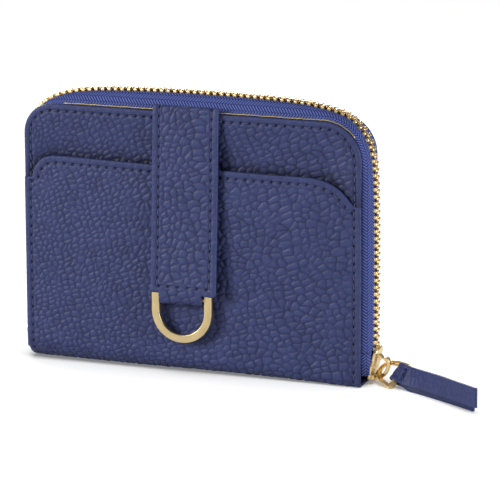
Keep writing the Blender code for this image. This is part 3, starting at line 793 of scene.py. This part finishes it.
class Profile:
    """A curve in the YZ plane that a strap follows, with its outward direction."""

    def __init__(self, points):
        self.line = resample(rounded(points, 8), 0.1)
        self.length = running_length(self.line)
        self.out = left_of(unit(np.gradient(self.line, axis=0)))

    def to_space(self, points, height):
        s = points[:, 1]
        place, out = (look_up(s, self.length, table) for table in (self.line, self.out))
        return np.column_stack((points[:, 0], place + out * np.reshape(height, (-1, 1))))

    def run_at(self, y, z):
        """Running length of the profile's point nearest to a place."""
        return self.length[np.argmin(np.hypot(self.line[:, 0] - y, self.line[:, 1] - z))]


def build_strap():
    profile = Profile(STRAP_PROFILE)
    shoulder = profile.run_at(-13.65, STRAP_BOTTOM)
    top = profile.length[-1]
    edge, drop = 0.6, 0.7
    outline = [(TONGUE_LEFT, 0.0), (TONGUE_RIGHT, 0.0), (TONGUE_RIGHT, shoulder - 0.6 * drop),
               (STRAP_RIGHT - edge, shoulder - drop), (STRAP_RIGHT, shoulder + edge - drop),
               (STRAP_RIGHT, top), (STRAP_LEFT, top), (STRAP_LEFT, shoulder + edge),
               (STRAP_LEFT + edge, shoulder), (TONGUE_LEFT, shoulder)]
    low, high = shoulder + 2.0, top - 3.0
    left, right = STRAP_LEFT + STRAP_SEAM_INSET, STRAP_RIGHT - STRAP_SEAM_INSET
    seam = Seam([(left, high), (left, low), (right, low), (right, high)], 3.3)
    strap = leather_sheet("strap_leather", outline, profile.to_space, 1.0, [seam], 0.32, 17,
                          back_rows=range(1, int(top)), border=1.9, swell=0.12, size=2.6)
    finish_piece(strap, "front_cover", "leather", "front_strap", "strap_tongue")
    finish_piece(stitch_mesh("strap_stitches", [seam], profile.to_space), "front_cover", "leather")


# ---- Swept bars and the ring


def round_section(half_wide, half_high, bevel, steps=4):
    """Outline of a bar's cross-section with rounded corners."""
    out = []
    for cx, cy, start in ((1, 1, 0), (-1, 1, 90), (-1, -1, 180), (1, -1, 270)):
        centre = (cx * (half_wide - bevel), cy * (half_high - bevel))
        out += arc(centre, bevel, start, start + 90, steps)
    return np.array(out)


def round_wire(radius, sides):
    """Outline of a round wire's cross-section."""
    return np.array(arc((0, 0), radius, 0, 360 - 360 / sides, sides - 1))


def sweep(line, y, section):
    """Points and faces of a section carried along a line in an XZ plane; its second direction is +Y."""
    path = stand(np.asarray(line, float), y)
    up = np.array((0.0, 1.0, 0.0))
    wide = unit(np.cross(up, unit(np.gradient(path, axis=0))))
    rings = path[:, None] + wide[:, None] * section[None, :, :1] + up * section[None, :, 1:]
    return rings.reshape(-1, 3), loft_faces(len(path), len(section))


def build_ring():
    middle = (RING_OUTER + RING_INNER) / 2
    y, bar_z = RING_PIVOT
    top = bar_z + RING_LEG_TOP
    left = [(RING_CENTRE_X - middle, z) for z in np.linspace(top, RING_ARC_Z, 10)[:-1]]
    right = [(RING_CENTRE_X + middle, z) for z in np.linspace(RING_ARC_Z, top, 10)[1:]]
    bow = arc((RING_CENTRE_X, RING_ARC_Z), middle, 180, 360, 72)
    section = round_section((RING_OUTER - RING_INNER) / 2 - 0.05, RING_THICKNESS / 2, 0.28)
    bar = [(x, bar_z) for x in RING_CENTRE_X + np.linspace(-RING_BAR_HALF, RING_BAR_HALF, 24)]
    parts = [sweep(left + bow + right, y, section), sweep(bar, y, round_wire(RING_THICKNESS / 2, 16))]
    ring = add_mesh("gold_half_ring", *merge(parts), RING_GOLD, sharp=35)
    finish_piece(ring, "ring", "pale_gold", "half_ring")


# ---- Zip


CREST = [(60.2, 8.0), (60.3, 20.0), (60.35, 35.0), (60.3, 52.0), (60.1, 64.0), (59.85, 69.5), (59.2, 74.6),
         (57.7, 79.6), (55.2, 83.6), (51.8, 86.6), (47.6, 88.4), (42.7, 89.5), (36.5, 90.45), (26.0, 91.15),
         (10.0, 91.55), (-6.0, 91.6), (-20.0, 91.35), (-32.0, 90.85), (-39.5, 90.15), (-44.6, 89.2),
         (-49.0, 87.8), (-52.8, 85.7), (-55.8, 82.8), (-58.0, 78.8), (-59.0, 73.8), (-59.2, 66.0),
         (-59.2, 45.0), (-59.4, 30.0), (-59.8, 20.0), (-59.7, 8.0)]


def crest_walk(spacing):
    """The zip's crest from the right foot over the top to the left foot, evenly spaced."""
    walk = resample(rounded(CREST), 0.1)
    first = np.argmax(walk[:, 1] >= CHAIN_BOTTOM)
    last = len(walk) - np.argmax(walk[::-1, 1] >= CHAIN_BOTTOM)
    return resample(walk[first:last], spacing)


def nearest_edge(points):
    """The nearest point of the leather's outline, for each point outside it."""
    x, z = points[:, 0], points[:, 1]
    radius = np.where(x > 0, RADIUS_RIGHT, RADIUS_LEFT)
    centre_x = np.where(x > 0, HALF_WIDTH - RADIUS_RIGHT, RADIUS_LEFT - HALF_WIDTH)
    centre_z = COVER_TOP - radius
    away_x = np.where(np.abs(x) > np.abs(centre_x), x - centre_x, 0.0)
    away_z = np.maximum(z - centre_z, 0.0)
    reach = np.maximum(np.hypot(away_x, away_z), 1e-9)
    base_x = np.where(away_x == 0.0, x, centre_x)
    base_z = np.where(away_z == 0.0, z, centre_z)
    return np.column_stack((base_x + radius * away_x / reach, base_z + radius * away_z / reach))


def herringbone(s, t):
    """Height of a twill tape: slanted ribs that change hand from column to column."""
    column = t / WEAVE_COLUMN
    inside = column - np.floor(column)
    hand = np.where(np.floor(column) % 2 < 1, 1.0, -1.0)
    rib = np.cos(2 * math.pi * (s + hand * inside * 1.35)) * 0.5 + 0.5
    between = smooth(0.0, 0.12, np.minimum(inside, 1 - inside))
    return (0.08 + 0.92 * rib) * (0.45 + 0.55 * between)


def tape_mesh(name, edge, crest, side, inner, y_last):
    """A woven tape from its hidden flange, round a soft bend, to the foot of the teeth.

    inner is where the flange starts inside the leather's edge, and y_last how near the tape comes to
    the middle plane."""
    width = np.linalg.norm(crest - edge, axis=1)
    out = (crest - edge) / width[:, None]
    outer_count, inner_count = 44, 7
    run = running_length(crest)
    rise = TAPE_FLANGE_Y - TAPE_EDGE_Y
    last = math.acos(max(0.0, (y_last - TAPE_EDGE_Y) / rise)) if y_last >= TAPE_EDGE_Y else math.pi / 2

    def section(width_here, count, inset):
        """Reach from the leather's edge and distance from the middle plane, along the section."""
        reach = width_here + TAPE_TUCK
        flange = np.linspace(inner, -TAPE_TUCK, max(3, int(count * 0.3)))[:-1]
        tail = max(0.0, TAPE_EDGE_Y - y_last)
        angles = np.linspace(0, last, count - len(flange) - (2 if tail else 0))
        u = np.concatenate((flange, (reach - inset) * np.sin(angles) - TAPE_TUCK))
        y = np.concatenate((np.full(len(flange), TAPE_FLANGE_Y - inset),
                            TAPE_EDGE_Y + (rise - inset) * np.cos(angles)))
        if tail:
            u = np.concatenate((u, [u[-1], u[-1]]))
            y = np.concatenate((y, [TAPE_EDGE_Y - tail / 2, y_last]))
        return u, y

    rings, values = [], []
    for k in range(len(edge)):
        u, y = section(width[k], outer_count, 0.0)
        across = running_length(np.column_stack((u, y)))
        weave = herringbone(run[k], across)
        du, dy = np.gradient(u), np.gradient(y)
        size = np.hypot(du, dy)
        lift = TAPE_RIB * (weave - 0.6)
        u_out, y_out = u - dy / size * lift, y + du / size * lift
        u_in, y_in = section(width[k], inner_count, TAPE_THICKNESS)
        ring_u = np.concatenate((u_out, u_in[::-1]))
        ring_y = np.concatenate((y_out, y_in[::-1]))
        rings.append(stand(edge[k] + out[k] * ring_u[:, None], side * ring_y))
        # The weave's height is also stored as the tape's tone, which paints shade into its hollows.
        values.append(np.concatenate((weave, np.full(inner_count, 0.5))))
    return add_loft(name, rings, TAPE, grain=np.concatenate(values))


def tooth_template():
    """One cast tooth lying along its row: (along the chain, across from the tape, outwards)."""
    plan = [(0.52, 2.35), (0.60, 1.9), (0.52, 1.45), (0.32, 1.15), (0.32, 0.75), (0.50, 0.40),
            (0.52, -0.10), (0.40, -0.45), (0.20, -0.60)]
    outline = np.array(plan + [(-a, b) for a, b in reversed(plan)])
    centre = np.array([0.0, TOOTH_MIDDLE])
    levels = [(-0.95, 0.80), (-0.85, 0.93), (-0.6, 1.0), (0.55, 1.0), (0.80, 0.93), (0.93, 0.78),
              (0.97, 0.45)]
    points = []
    for height, scale in levels:
        ring = centre + (outline - centre) * scale
        bulge = height + (0.10 * (1 - ((ring[:, 1] - TOOTH_MIDDLE) / 1.5) ** 2) if height > 0.7 else 0.0)
        points.append(np.column_stack((ring, np.broadcast_to(bulge, len(ring)))))
    return np.vstack(points), loft_faces(len(levels), len(outline))


def teeth_mesh(name, side, start):
    """A row of teeth along the crest, the first of them a little way above the foot."""
    walk = crest_walk(0.25)
    length = running_length(walk)
    template, faces = tooth_template()
    s = start + TOOTH_PITCH * np.arange((length[-1] - start - 1.0) // TOOTH_PITCH)
    before, here, after = (look_up(s + step, length, walk) for step in (-0.5, 0.0, 0.5))
    ahead = unit(after - before)
    parts = []
    for spot, along, left in zip(here, ahead, left_of(ahead)):
        flat = spot + along * template[:, :1] - left * template[:, 2:]
        parts.append((stand(flat, side * template[:, 1]), faces))
    return add_mesh(name, *merge(parts), BRASS, sharp=50)


def build_zip():
    crest = crest_walk(0.24)
    edge = nearest_edge(crest)
    for face, side in SIDES.items():
        tape = tape_mesh(f"{face}_woven_tape", edge, crest, side, inner=-4.2, y_last=0.9)
        finish_piece(tape, f"{face}_cover", "zip_tape", f"{face}_zip_tape")
        teeth = teeth_mesh(f"{face}_teeth", side, FIRST_TOOTH[face])
        finish_piece(teeth, f"{face}_cover", "brass", f"{face}_zip_teeth")
    heights = np.linspace(3.4, CHAIN_BOTTOM - 0.05, 32)
    for name, hand in (("right", 1), ("left", -1)):
        edge, crest = (np.column_stack((np.full(32, hand * half), heights))
                       for half in (HALF_WIDTH, CREST_HALF_WIDTH))
        for face, side in SIDES.items():
            end = tape_mesh(f"{name}_{face}_woven_end", edge, crest, side, inner=-2.4, y_last=3.4)
            finish_piece(end, "spine", "zip_tape", f"{name}_{face}_tape_end")


# ---- Slider, link and tab


def tilted_plate(line, widths, half_thick, curl):
    """A plate that follows a line in the XZ plane, with rounded edges that curl towards -X."""
    rings = []
    outward = -left_of(unit(np.gradient(line, axis=0)))
    for spot, out, width in zip(line, outward, widths):
        section = round_section(width, half_thick, 0.32 * min(1.0, width / 2.0))
        perimeter = running_length(np.vstack((section, section[:1])))[-1]
        section = resample(section, perimeter / 64, closed=True)
        reach = section[:, 1] - curl * smooth(width - 1.5, width, np.abs(section[:, 0]))
        rings.append(stand(spot + out * reach[:, None], section[:, 0]))
    return np.vstack(rings), loft_faces(len(rings), len(rings[0]))


SLIDER_LINE = [(59.35, 1.55), (59.62, 2.6), (60.05, 4.4), (60.62, 6.8), (61.22, 9.2), (61.70, 11.2),
               (61.95, 12.1)]
SLIDER_WIDTHS = [(0.0, 3.3), (0.05, 3.85), (0.12, 4.2), (0.25, 4.3), (0.42, 4.15), (0.60, 3.75), (0.85, 3.6),
                 (0.93, 3.2), (0.98, 2.4), (1.0, 1.7)]
SLIDER_POST = [(0.0, 1.7), (0.8, 0.5), (0.95, -0.6), (0.6, -1.5), (-0.6, -1.5), (-0.95, -0.6), (-0.8, 0.5)]
SLIDER_CROWN = [(60.0, 2.2), (61.0, 1.75), (62.3, 2.2), (63.6, 3.1), (64.55, 4.7), (64.9, 6.4),
                (64.65, 7.75), (64.0, 8.25), (63.45, 7.95)]
SLIDER_FOOT = [(59.3, 1.2), (60.1, 1.55), (61.0, 1.75), (61.7, 1.95)]
SLIDER_STUB = [(60.9, 9.35), (62.0, 8.95), (62.75, 8.1)]


def build_slider():
    line = resample(rounded(SLIDER_LINE), 0.18)
    t = (line[:, 1] - line[0, 1]) / (line[-1, 1] - line[0, 1])
    width = np.interp(t, *zip(*SLIDER_WIDTHS))
    post = np.array(SLIDER_POST)
    rings = [np.column_stack((np.full(len(post), x), post + (0.0, 4.0 + (x - 58.5) * 0.2)))
             for x in (57.0, 58.5, 60.0)]
    parts = [tilted_plate(line, width, 0.6, 0.45),
             tilted_plate(line[4:-8] - np.array([2.95, -0.35]), np.minimum(width[4:-8], 3.05), 0.28, 0.0),
             (np.vstack(rings), loft_faces(3, len(post))),
             sweep(resample(rounded(SLIDER_CROWN), 0.16), 0.0, round_section(0.60, 0.85, 0.22)),
             sweep(resample(rounded(SLIDER_FOOT), 0.15), 0.0, round_section(0.62, 1.5, 0.3)),
             sweep(resample(SLIDER_STUB, 0.15), 0.0, round_section(0.62, 0.95, 0.25))]
    slider = add_mesh("zip_slider", *merge(parts), BRASS, sharp=40)
    finish_piece(slider, "slider", "brass", "slider_body")


LINK_START = Vector(JOINTS["link_hinge"]["pos_m"]) / MM
LINK_LENGTH = 7.0
LINK_ACROSS = Vector(JOINTS["tab_hinge"]["axis"]).normalized()
LINK_ALONG = (Vector(JOINTS["tab_hinge"]["pos_m"]) / MM - LINK_START).normalized()
LINK_BAR = LINK_START + LINK_ALONG * LINK_LENGTH
LINK_SQUARE = LINK_ALONG.cross(LINK_ACROSS)
LINK_SKEW = math.radians(8.0)
# Outer and inner rim of the stirrup, from one side of the tab's bar round the crown to the other
LINK_RIM = [((8.30, 5.30), (6.75, 3.80)), ((7.0, 5.28), (6.2, 3.80)), ((5.4, 5.20), (5.2, 3.78)),
            ((3.6, 5.02), (3.6, 3.60)), ((2.0, 4.68), (2.2, 3.30)), ((0.3, 3.98), (0.9, 2.80)),
            ((-1.1, 2.75), (0.0, 1.95)), ((-1.75, 0.6), (-0.55, 0.55)), ((-1.35, -1.25), (-0.25, -0.80)),
            ((-0.1, -2.70), (0.7, -1.65)), ((2.0, -3.65), (2.4, -2.35)), ((4.1, -4.30), (4.3, -2.95)),
            ((6.2, -4.80), (6.0, -3.40)), ((8.10, -5.10), (6.75, -3.60))]


def build_link():
    """A flat stamped stirrup: a round bow through the crown, flaring to a square bar for the tab."""
    along = LINK_ALONG * math.cos(LINK_SKEW) + LINK_ACROSS * math.sin(LINK_SKEW)
    across = LINK_ACROSS * math.cos(LINK_SKEW) - LINK_ALONG * math.sin(LINK_SKEW)
    bar_at = np.linspace(-3.4, 3.6, 12)
    outer, inner = (np.vstack((rounded(rim), np.column_stack((np.full(12, bar_edge), bar_at))))
                    for rim, bar_edge in zip(zip(*LINK_RIM), (7.95, 6.75)))
    section = round_section(1.0, 1.0, 0.24, 3)
    rings = []
    for rim, hole in zip(outer, inner):
        middle, reach = (rim + hole) / 2, (rim - hole) / 2
        deep = 0.48 + 0.62 * smooth(0.0, 4.5, middle[0])
        spots = [(middle + reach * a, deep * h) for a, h in section]
        rings.append([tuple(LINK_START + along * spot[0] + across * spot[1] + LINK_SQUARE * rise)
                      for spot, rise in spots])
    finish_piece(add_loft("pull_stirrup", rings, BRASS, closed=True, sharp=40), "link", "brass", "pull_link")


TAB_END = Vector((101.0, -24.6, 4.6))
TAB_HEADING = (TAB_END - LINK_BAR).normalized()
TAB_LENGTH = (TAB_END - LINK_BAR).length
TAB_HALF_WIDTH = 3.2
TAB_LEAF = 0.95
TAB_NEAR_EXTRA = -1.5
TAB_FAR_EXTRA = 2.0
TAB_OPEN = 1.65
TAB_TILT = 46.0
TAB_TWIST_LENGTH = 8.0


def tab_frame(s):
    """Width direction and facing of the tab at a distance from the bar."""
    tilt = math.radians(TAB_TILT * math.exp(-max(s, 0.0) / TAB_TWIST_LENGTH))
    level = Vector((TAB_HEADING.y, -TAB_HEADING.x, 0.0)).normalized()
    upright = TAB_HEADING.cross(level).normalized()
    if upright.z > 0:
        upright.negate()
    wide = upright * math.cos(tilt) + level * math.sin(tilt)
    return wide, TAB_HEADING.cross(wide)


class TabPath:
    """The strip's middle line, from the end of its near leaf round the bar to the end of the other."""

    def __init__(self):
        turn = self.spread(0.0)
        near = [(s, s, self.spread(s)) for s in np.arange(TAB_LENGTH + TAB_NEAR_EXTRA, 0.0, -0.6)]
        bend = [(0.0, -0.2 - turn * math.sin(angle), turn * math.cos(angle))
                for angle in np.radians(np.linspace(10, 170, 17))]
        far = [(s, s, -self.spread(s)) for s in np.arange(0.5, TAB_LENGTH + TAB_FAR_EXTRA, 0.6)]
        centres, wides = [], []
        for twist_at, run, height in near + bend + far:
            wide, square = tab_frame(twist_at)
            centres.append(tuple(LINK_BAR + TAB_HEADING * run + square * height))
            wides.append(tuple(wide))
        self.centre, self.wide = np.array(centres), np.array(wides)
        self.skin = unit(np.cross(self.wide, unit(np.gradient(self.centre, axis=0))))
        self.length = running_length(self.centre)
        self.middle = self.length[len(near) + 8]

    @staticmethod
    def spread(s):
        """Half the gap between the leaves' middle lines at a distance from the bar."""
        shut = 0.58 + 0.30 * (s / TAB_LENGTH) ** 2
        t = min(1.0, max(0.0, s) / 6.5)
        return TAB_OPEN + (shut - TAB_OPEN) * t * t * (3 - 2 * t)

    def to_space(self, points, height):
        """Places points of the strip; both leaves slip sideways, the near one lifts above the other."""
        s = points[:, 1]
        away = np.abs(s - self.middle)
        slip = -0.8 * smooth(2.0, 26.0, away)
        slip = slip + np.where(s < self.middle, 1.95, 0.0) * smooth(1.5, 13.0, away)
        spot, wide, skin = (look_up(s, self.length, table) for table in (self.centre, self.wide, self.skin))
        lift = np.reshape(height + TAB_LEAF / 2, (-1, 1))
        return spot + wide * (points[:, 0] + slip)[:, None] + skin * lift


def build_tab():
    path = TabPath()
    total = path.length[-1]
    half = TAB_HALF_WIDTH
    outline = [(-half, 0.0), (half, 0.0), (half, total), (-half, total)]
    seams = [Seam([(1.3 - half, z), (half - 1.3, z)], 1.7) for z in (path.middle - 6.3, path.middle + 6.3)]
    rows = [0.8 * k for k in range(1, int(total / 0.8))]
    # The tab's inner faces are near black: painted shade in the gap between its two leaves.
    tab = leather_sheet("tab_leather", outline, path.to_space, TAB_LEAF, seams, 0.32, 23, TAB_PAINTED_SHADE_LEATHER,
                        relief=0.18, border=0.9, roll=0.30, back_rows=rows, size=2.4, inner_face_shade=0.08)
    finish_piece(tab, "tab", "leather", "pull_tab")
    finish_piece(stitch_mesh("tab_stitches", seams, path.to_space, radius=0.2), "tab", "leather")


def build_stops():
    """Small pinched metal clips at the foot of each row of teeth."""
    levels = [(-1.0, 0.72), (-0.80, 0.93), (-0.5, 1.0), (0.0, 0.95), (0.5, 1.0), (0.80, 0.93),
              (1.0, 0.72)]
    for node in ("left_back_stop", "left_front_stop", "right_back_stop", "right_front_stop"):
        low, high = (np.array(corner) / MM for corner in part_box(node))
        centre, half = (low + high) / 2, (high - low) / 2
        section = round_section(half[0], half[1], 0.25)
        rings = [np.column_stack((centre[:2] + section * scale,
                                  np.full(len(section), centre[2] + half[2] * level)))
                 for level, scale in levels]
        clip = add_loft(node.replace("_stop", "_clip"), rings, BRASS, sharp=40)
        finish_piece(clip, "spine", "brass", node)


# ---- Inside


def inner_space(y_face, side):
    """Places points of a sheet whose good face looks inwards, at a distance from the middle plane."""
    def to_space(points, height):
        return stand(points, side * (y_face - height))
    return to_space


def plain_slab(name, outline, y_near, y_far, material):
    """A flat sheet with softened edges."""
    outline = resample(outline, 0.8, closed=True)
    inward = loop_left(outline)
    inward *= np.sign(np.sum(inward * (outline.mean(0) - outline), axis=1).sum())
    half, middle = abs(y_far - y_near) / 2, (y_far + y_near) / 2
    rings = []
    for degrees in (-90, -45, 0, 45, 90):
        a = math.radians(degrees)
        ring = outline + inward * 0.12 * (1 - math.cos(a))
        y = middle + math.sin(a) * (half if abs(degrees) == 90 else half - 0.02)
        rings.append(stand(ring, y))
    return add_loft(name, rings, material, sharp=60)


def pocket_piece(name, node, face, half, bottom, top, y_face, seed, sides=True):
    """A leather pocket panel with rounded upper corners and a stitched edge, facing inwards."""
    place = inner_space(y_face, SIDES[face])
    corner, pitch, inset = 2.0, 2.6, 1.6
    outline = [(-half, bottom), (half, bottom)] + arc((half - corner, top - corner), corner, 0, 90, 6)
    outline += arc((corner - half, top - corner), corner, 90, 180, 6)
    side, low, high = half - inset, bottom + inset, top - 1.9
    seams = [Seam([(side, high), (-side, high)], pitch)]
    if sides:
        seams.append(Seam([(side, top - 3.4), (side, low), (-side, low), (-side, top - 3.4)], pitch))
    panel = leather_sheet(name, outline, place, 0.4, seams, 0.75, seed, relief=0.10, border=1.0, roll=0.2,
                          size=1.9)
    threads = stitch_mesh(f"{name}_stitches", seams, place, radius=0.17, lift=0.0)
    finish_piece(panel, f"{face}_cover", "leather", node)
    finish_piece(threads, f"{face}_cover", "leather")


def lining_section(side):
    """The lining's path from the middle of the spine up the inside of a cover."""
    points = [(0.0, 2.75), (2.4, 2.62), (3.6, 2.70)] + arc((3.6, 4.45), 1.75, 285, 345, 5)
    points += [(5.38, 5.2), (5.45, 7.0)] + [(5.45, z) for z in np.arange(9.0, 83.6, 2.5)]
    path = resample(points, 0.5)
    return np.column_stack((side * path[:, 0], path[:, 1]))


def lining_reach(z, radius):
    """Half width of a lining at a height, on the side where its corner has this radius."""
    if z < 6.5:
        return HALF_WIDTH - 4.3
    above = max(z - (COVER_TOP - LINING_INSET - radius), 0.0)
    return HALF_WIDTH - 3.2 - (radius - math.sqrt(max(radius * radius - above * above, 0.0)))


def build_lining(face, *nodes):
    """One cloth from the spine up the cover, cut to the cover's rounded shape."""
    path = lining_section(SIDES[face])
    out = left_of(unit(np.gradient(path, axis=0))) * LINING_THICKNESS / 2
    rings = []
    for k, (y, z) in enumerate(path):
        left, right = (lining_reach(z, radius - LINING_INSET) for radius in (RADIUS_LEFT, RADIUS_RIGHT))
        xs = np.linspace(-left, right, 48)
        weave = 0.03 * np.sin(xs * 5.0 + k)
        near, far = (np.column_stack((xs, np.full(48, z + hand * out[k, 1]))) for hand in (1, -1))
        rings.append(np.vstack((stand(near, y + out[k, 0] + weave * 0.2), stand(far, y - out[k, 0])[::-1])))
    cloth = add_loft(f"{face}_lining_cloth", rings, LINING, sharp=60)
    bend_at_spine(cloth)
    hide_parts(*nodes)


def build_inside():
    build_lining("front", "front_lining", "spine_lining")
    build_lining("back", "back_lining")
    for face, near, far in (("front", -6.0, -6.6), ("back", 7.2, 7.8)):
        board = plain_slab(f"{face}_stiffener", cover_outline(8.3, 5.5), near, far, BOARD)
        finish_piece(board, f"{face}_cover", "board", f"{face}_board")
    under = [(-52.5, 1.65), (-26.0, 1.75), (0.0, 1.80), (26.0, 1.75), (52.5, 1.65)]
    section = under + [(x, z + 0.6) for x, z in under[::-1]]
    rings = [stand(np.array(section), y) for y in (-5.0, -2.5, 0.0, 2.5, 5.0)]
    finish_piece(add_loft("spine_stiffener", rings, BOARD, sharp=40), "spine", "board", "spine_board")
    for k, (y_face, top) in enumerate(CARD_SLOTS):
        pocket_piece(f"card_slot_{k + 1}", f"front_card_pocket_{k + 1}", "front", 51.5, 8.8, top, y_face,
                     31 + k, sides=k == 2)
    pocket_piece("note_sleeve", "note_pocket", "back", 52.5, 8.8, 76.0, 4.4, 41)
    side, low, high = COIN_POUCH
    pocket_piece("coin_pouch", "coin_pocket_wall", "back", side, low, high, 2.8, 43)
    inner = side - GUSSET_WIDTH
    floor = low + GUSSET_WIDTH
    rim = [(-side, high), (-side, low), (side, low), (side, high), (inner, high), (inner, floor),
           (-inner, floor), (-inner, high)]
    gusset = plain_slab("coin_gusset", rim, 3.6, 4.1, LINING)
    finish_piece(gusset, "back_cover", "lining", "coin_pocket_gusset")


def build_piping():
    """A thin gilt cord along the upper edge of the front panel, ending partway round the right corner."""
    centre = (HALF_WIDTH - RADIUS_RIGHT, COVER_TOP - RADIUS_RIGHT)
    line = [(k - 44.0, COVER_TOP + PIPING_OFFSET) for k in range(89)]
    line = resample(line + arc(centre, RADIUS_RIGHT + PIPING_OFFSET, 90, 38, 40), 0.6)
    line[:, 1] += 0.10 * soft_noise(np.arange(len(line)) * 0.7, np.zeros(len(line)), 5)
    piping = add_mesh("gilt_piping", *sweep(line, PIPING_Y, round_wire(PIPING_RADIUS, 10)), RING_GOLD)
    finish_piece(piping, "front_cover", "pale_gold", "front_piping")


# ---- Studio


def area(name, place, size, power):
    """A square soft light that looks at the wallet."""
    light = bpy.data.lights.new(name, "AREA")
    light.shape = "RECTANGLE"
    light.size = light.size_y = size
    light.energy = power
    obj = bpy.data.objects.new(name, light)
    obj.location = place
    obj.rotation_euler = (Vector((0.0, 0.0, 0.04)) - Vector(place)).to_track_quat("-Z", "Y").to_euler()
    bpy.context.scene.collection.objects.link(obj)
    return obj


def glowing_sheet(name, corners, white, roughness, glow):
    """A flat, faintly glowing sheet that throws no diffuse light on the wallet."""
    mesh = bpy.data.meshes.new(name)
    mesh.from_pydata(corners, [], [(0, 1, 2, 3)])
    look = Look(f"{name}_white", (white, white, white), roughness)
    look.shader.inputs["Emission Color"].default_value = (1.0, 1.0, 1.0, 1.0)
    look.shader.inputs["Emission Strength"].default_value = glow
    mesh.materials.append(look.material)
    sheet = bpy.data.objects.new(name, mesh)
    sheet.visible_diffuse = False
    bpy.context.scene.collection.objects.link(sheet)
    return sheet


def build_camera():
    """The photo's view from about 1.2 m: turned to the right, a little from above and hardly rolled."""
    azimuth, elevation, roll = (math.radians(a) for a in (19.72, 13.41, -0.21))
    distance, target = 1.169, Vector((0.0174, 0.0, 0.0407))
    back = Vector((math.sin(azimuth) * math.cos(elevation), -math.cos(azimuth) * math.cos(elevation),
                   math.sin(elevation)))
    right = Vector((math.cos(azimuth), math.sin(azimuth), 0.0))
    up = back.cross(right)
    data = bpy.data.cameras.new("camera")
    data.sensor_width = 36.0
    data.lens = 258.9
    camera = bpy.data.objects.new("camera", data)
    turned_right = right * math.cos(roll) + up * math.sin(roll)
    turned_up = up * math.cos(roll) - right * math.sin(roll)
    matrix = Matrix((turned_right, turned_up, back)).transposed().to_4x4()
    matrix.translation = target + back * distance
    camera.matrix_world = matrix
    bpy.context.scene.collection.objects.link(camera)
    bpy.context.scene.camera = camera


# Name, place in metres, size in metres and power in watts; only the sheet lights the floor
LIGHTS = (("key", (-0.82, -0.70, 0.40), 0.40, 13.5), ("fill", (1.20, -0.25, 0.18), 0.6, 17.0),
          ("rear", (-0.50, 1.20, 0.16), 0.6, 18.0), ("sheet", (0.0, -0.1, 1.2), 1.6, 29.0))
WORLD_STRENGTH = 0.16
FLOOR_GLOW = 0.20
REFLECTOR_GLOW = 0.45


def build_studio():
    build_camera()
    lights = [area(*light) for light in LIGHTS]
    world = bpy.data.worlds.new("studio")
    world.use_nodes = True
    world.node_tree.nodes["Background"].inputs["Color"].default_value = (1.0, 1.0, 1.0, 1.0)
    world.node_tree.nodes["Background"].inputs["Strength"].default_value = WORLD_STRENGTH
    bpy.context.scene.world = world
    bpy.context.scene.view_settings.view_transform = "Standard"
    corners = [(-4.0, -4.0, 0.0), (4.0, -4.0, 0.0), (4.0, 4.0, 0.0), (-4.0, 4.0, 0.0)]
    floor = glowing_sheet("floor", corners, 0.80, 0.9, FLOOR_GLOW)
    corners = [(-1.5, -0.8, 1.6), (1.5, -0.8, 1.6), (1.5, 2.5, 1.0), (-1.5, 2.5, 1.0)]
    reflector = glowing_sheet("reflector", corners, 0.0, 1.0, REFLECTOR_GLOW)
    reflector.visible_camera = False
    reflector.visible_shadow = False
    for light in lights:
        group = bpy.data.collections.new(f"{light.name}_receivers")
        group.objects.link(floor)
        state = "INCLUDE" if light.name == "sheet" else "EXCLUDE"
        group.collection_objects[0].light_linking.link_state = state
        light.light_linking.receiver_collection = group


build_outer_leather()
build_front_panel()
build_strap()
build_ring()
build_zip()
build_piping()
build_slider()
build_link()
build_tab()
build_stops()
build_inside()
build_studio()
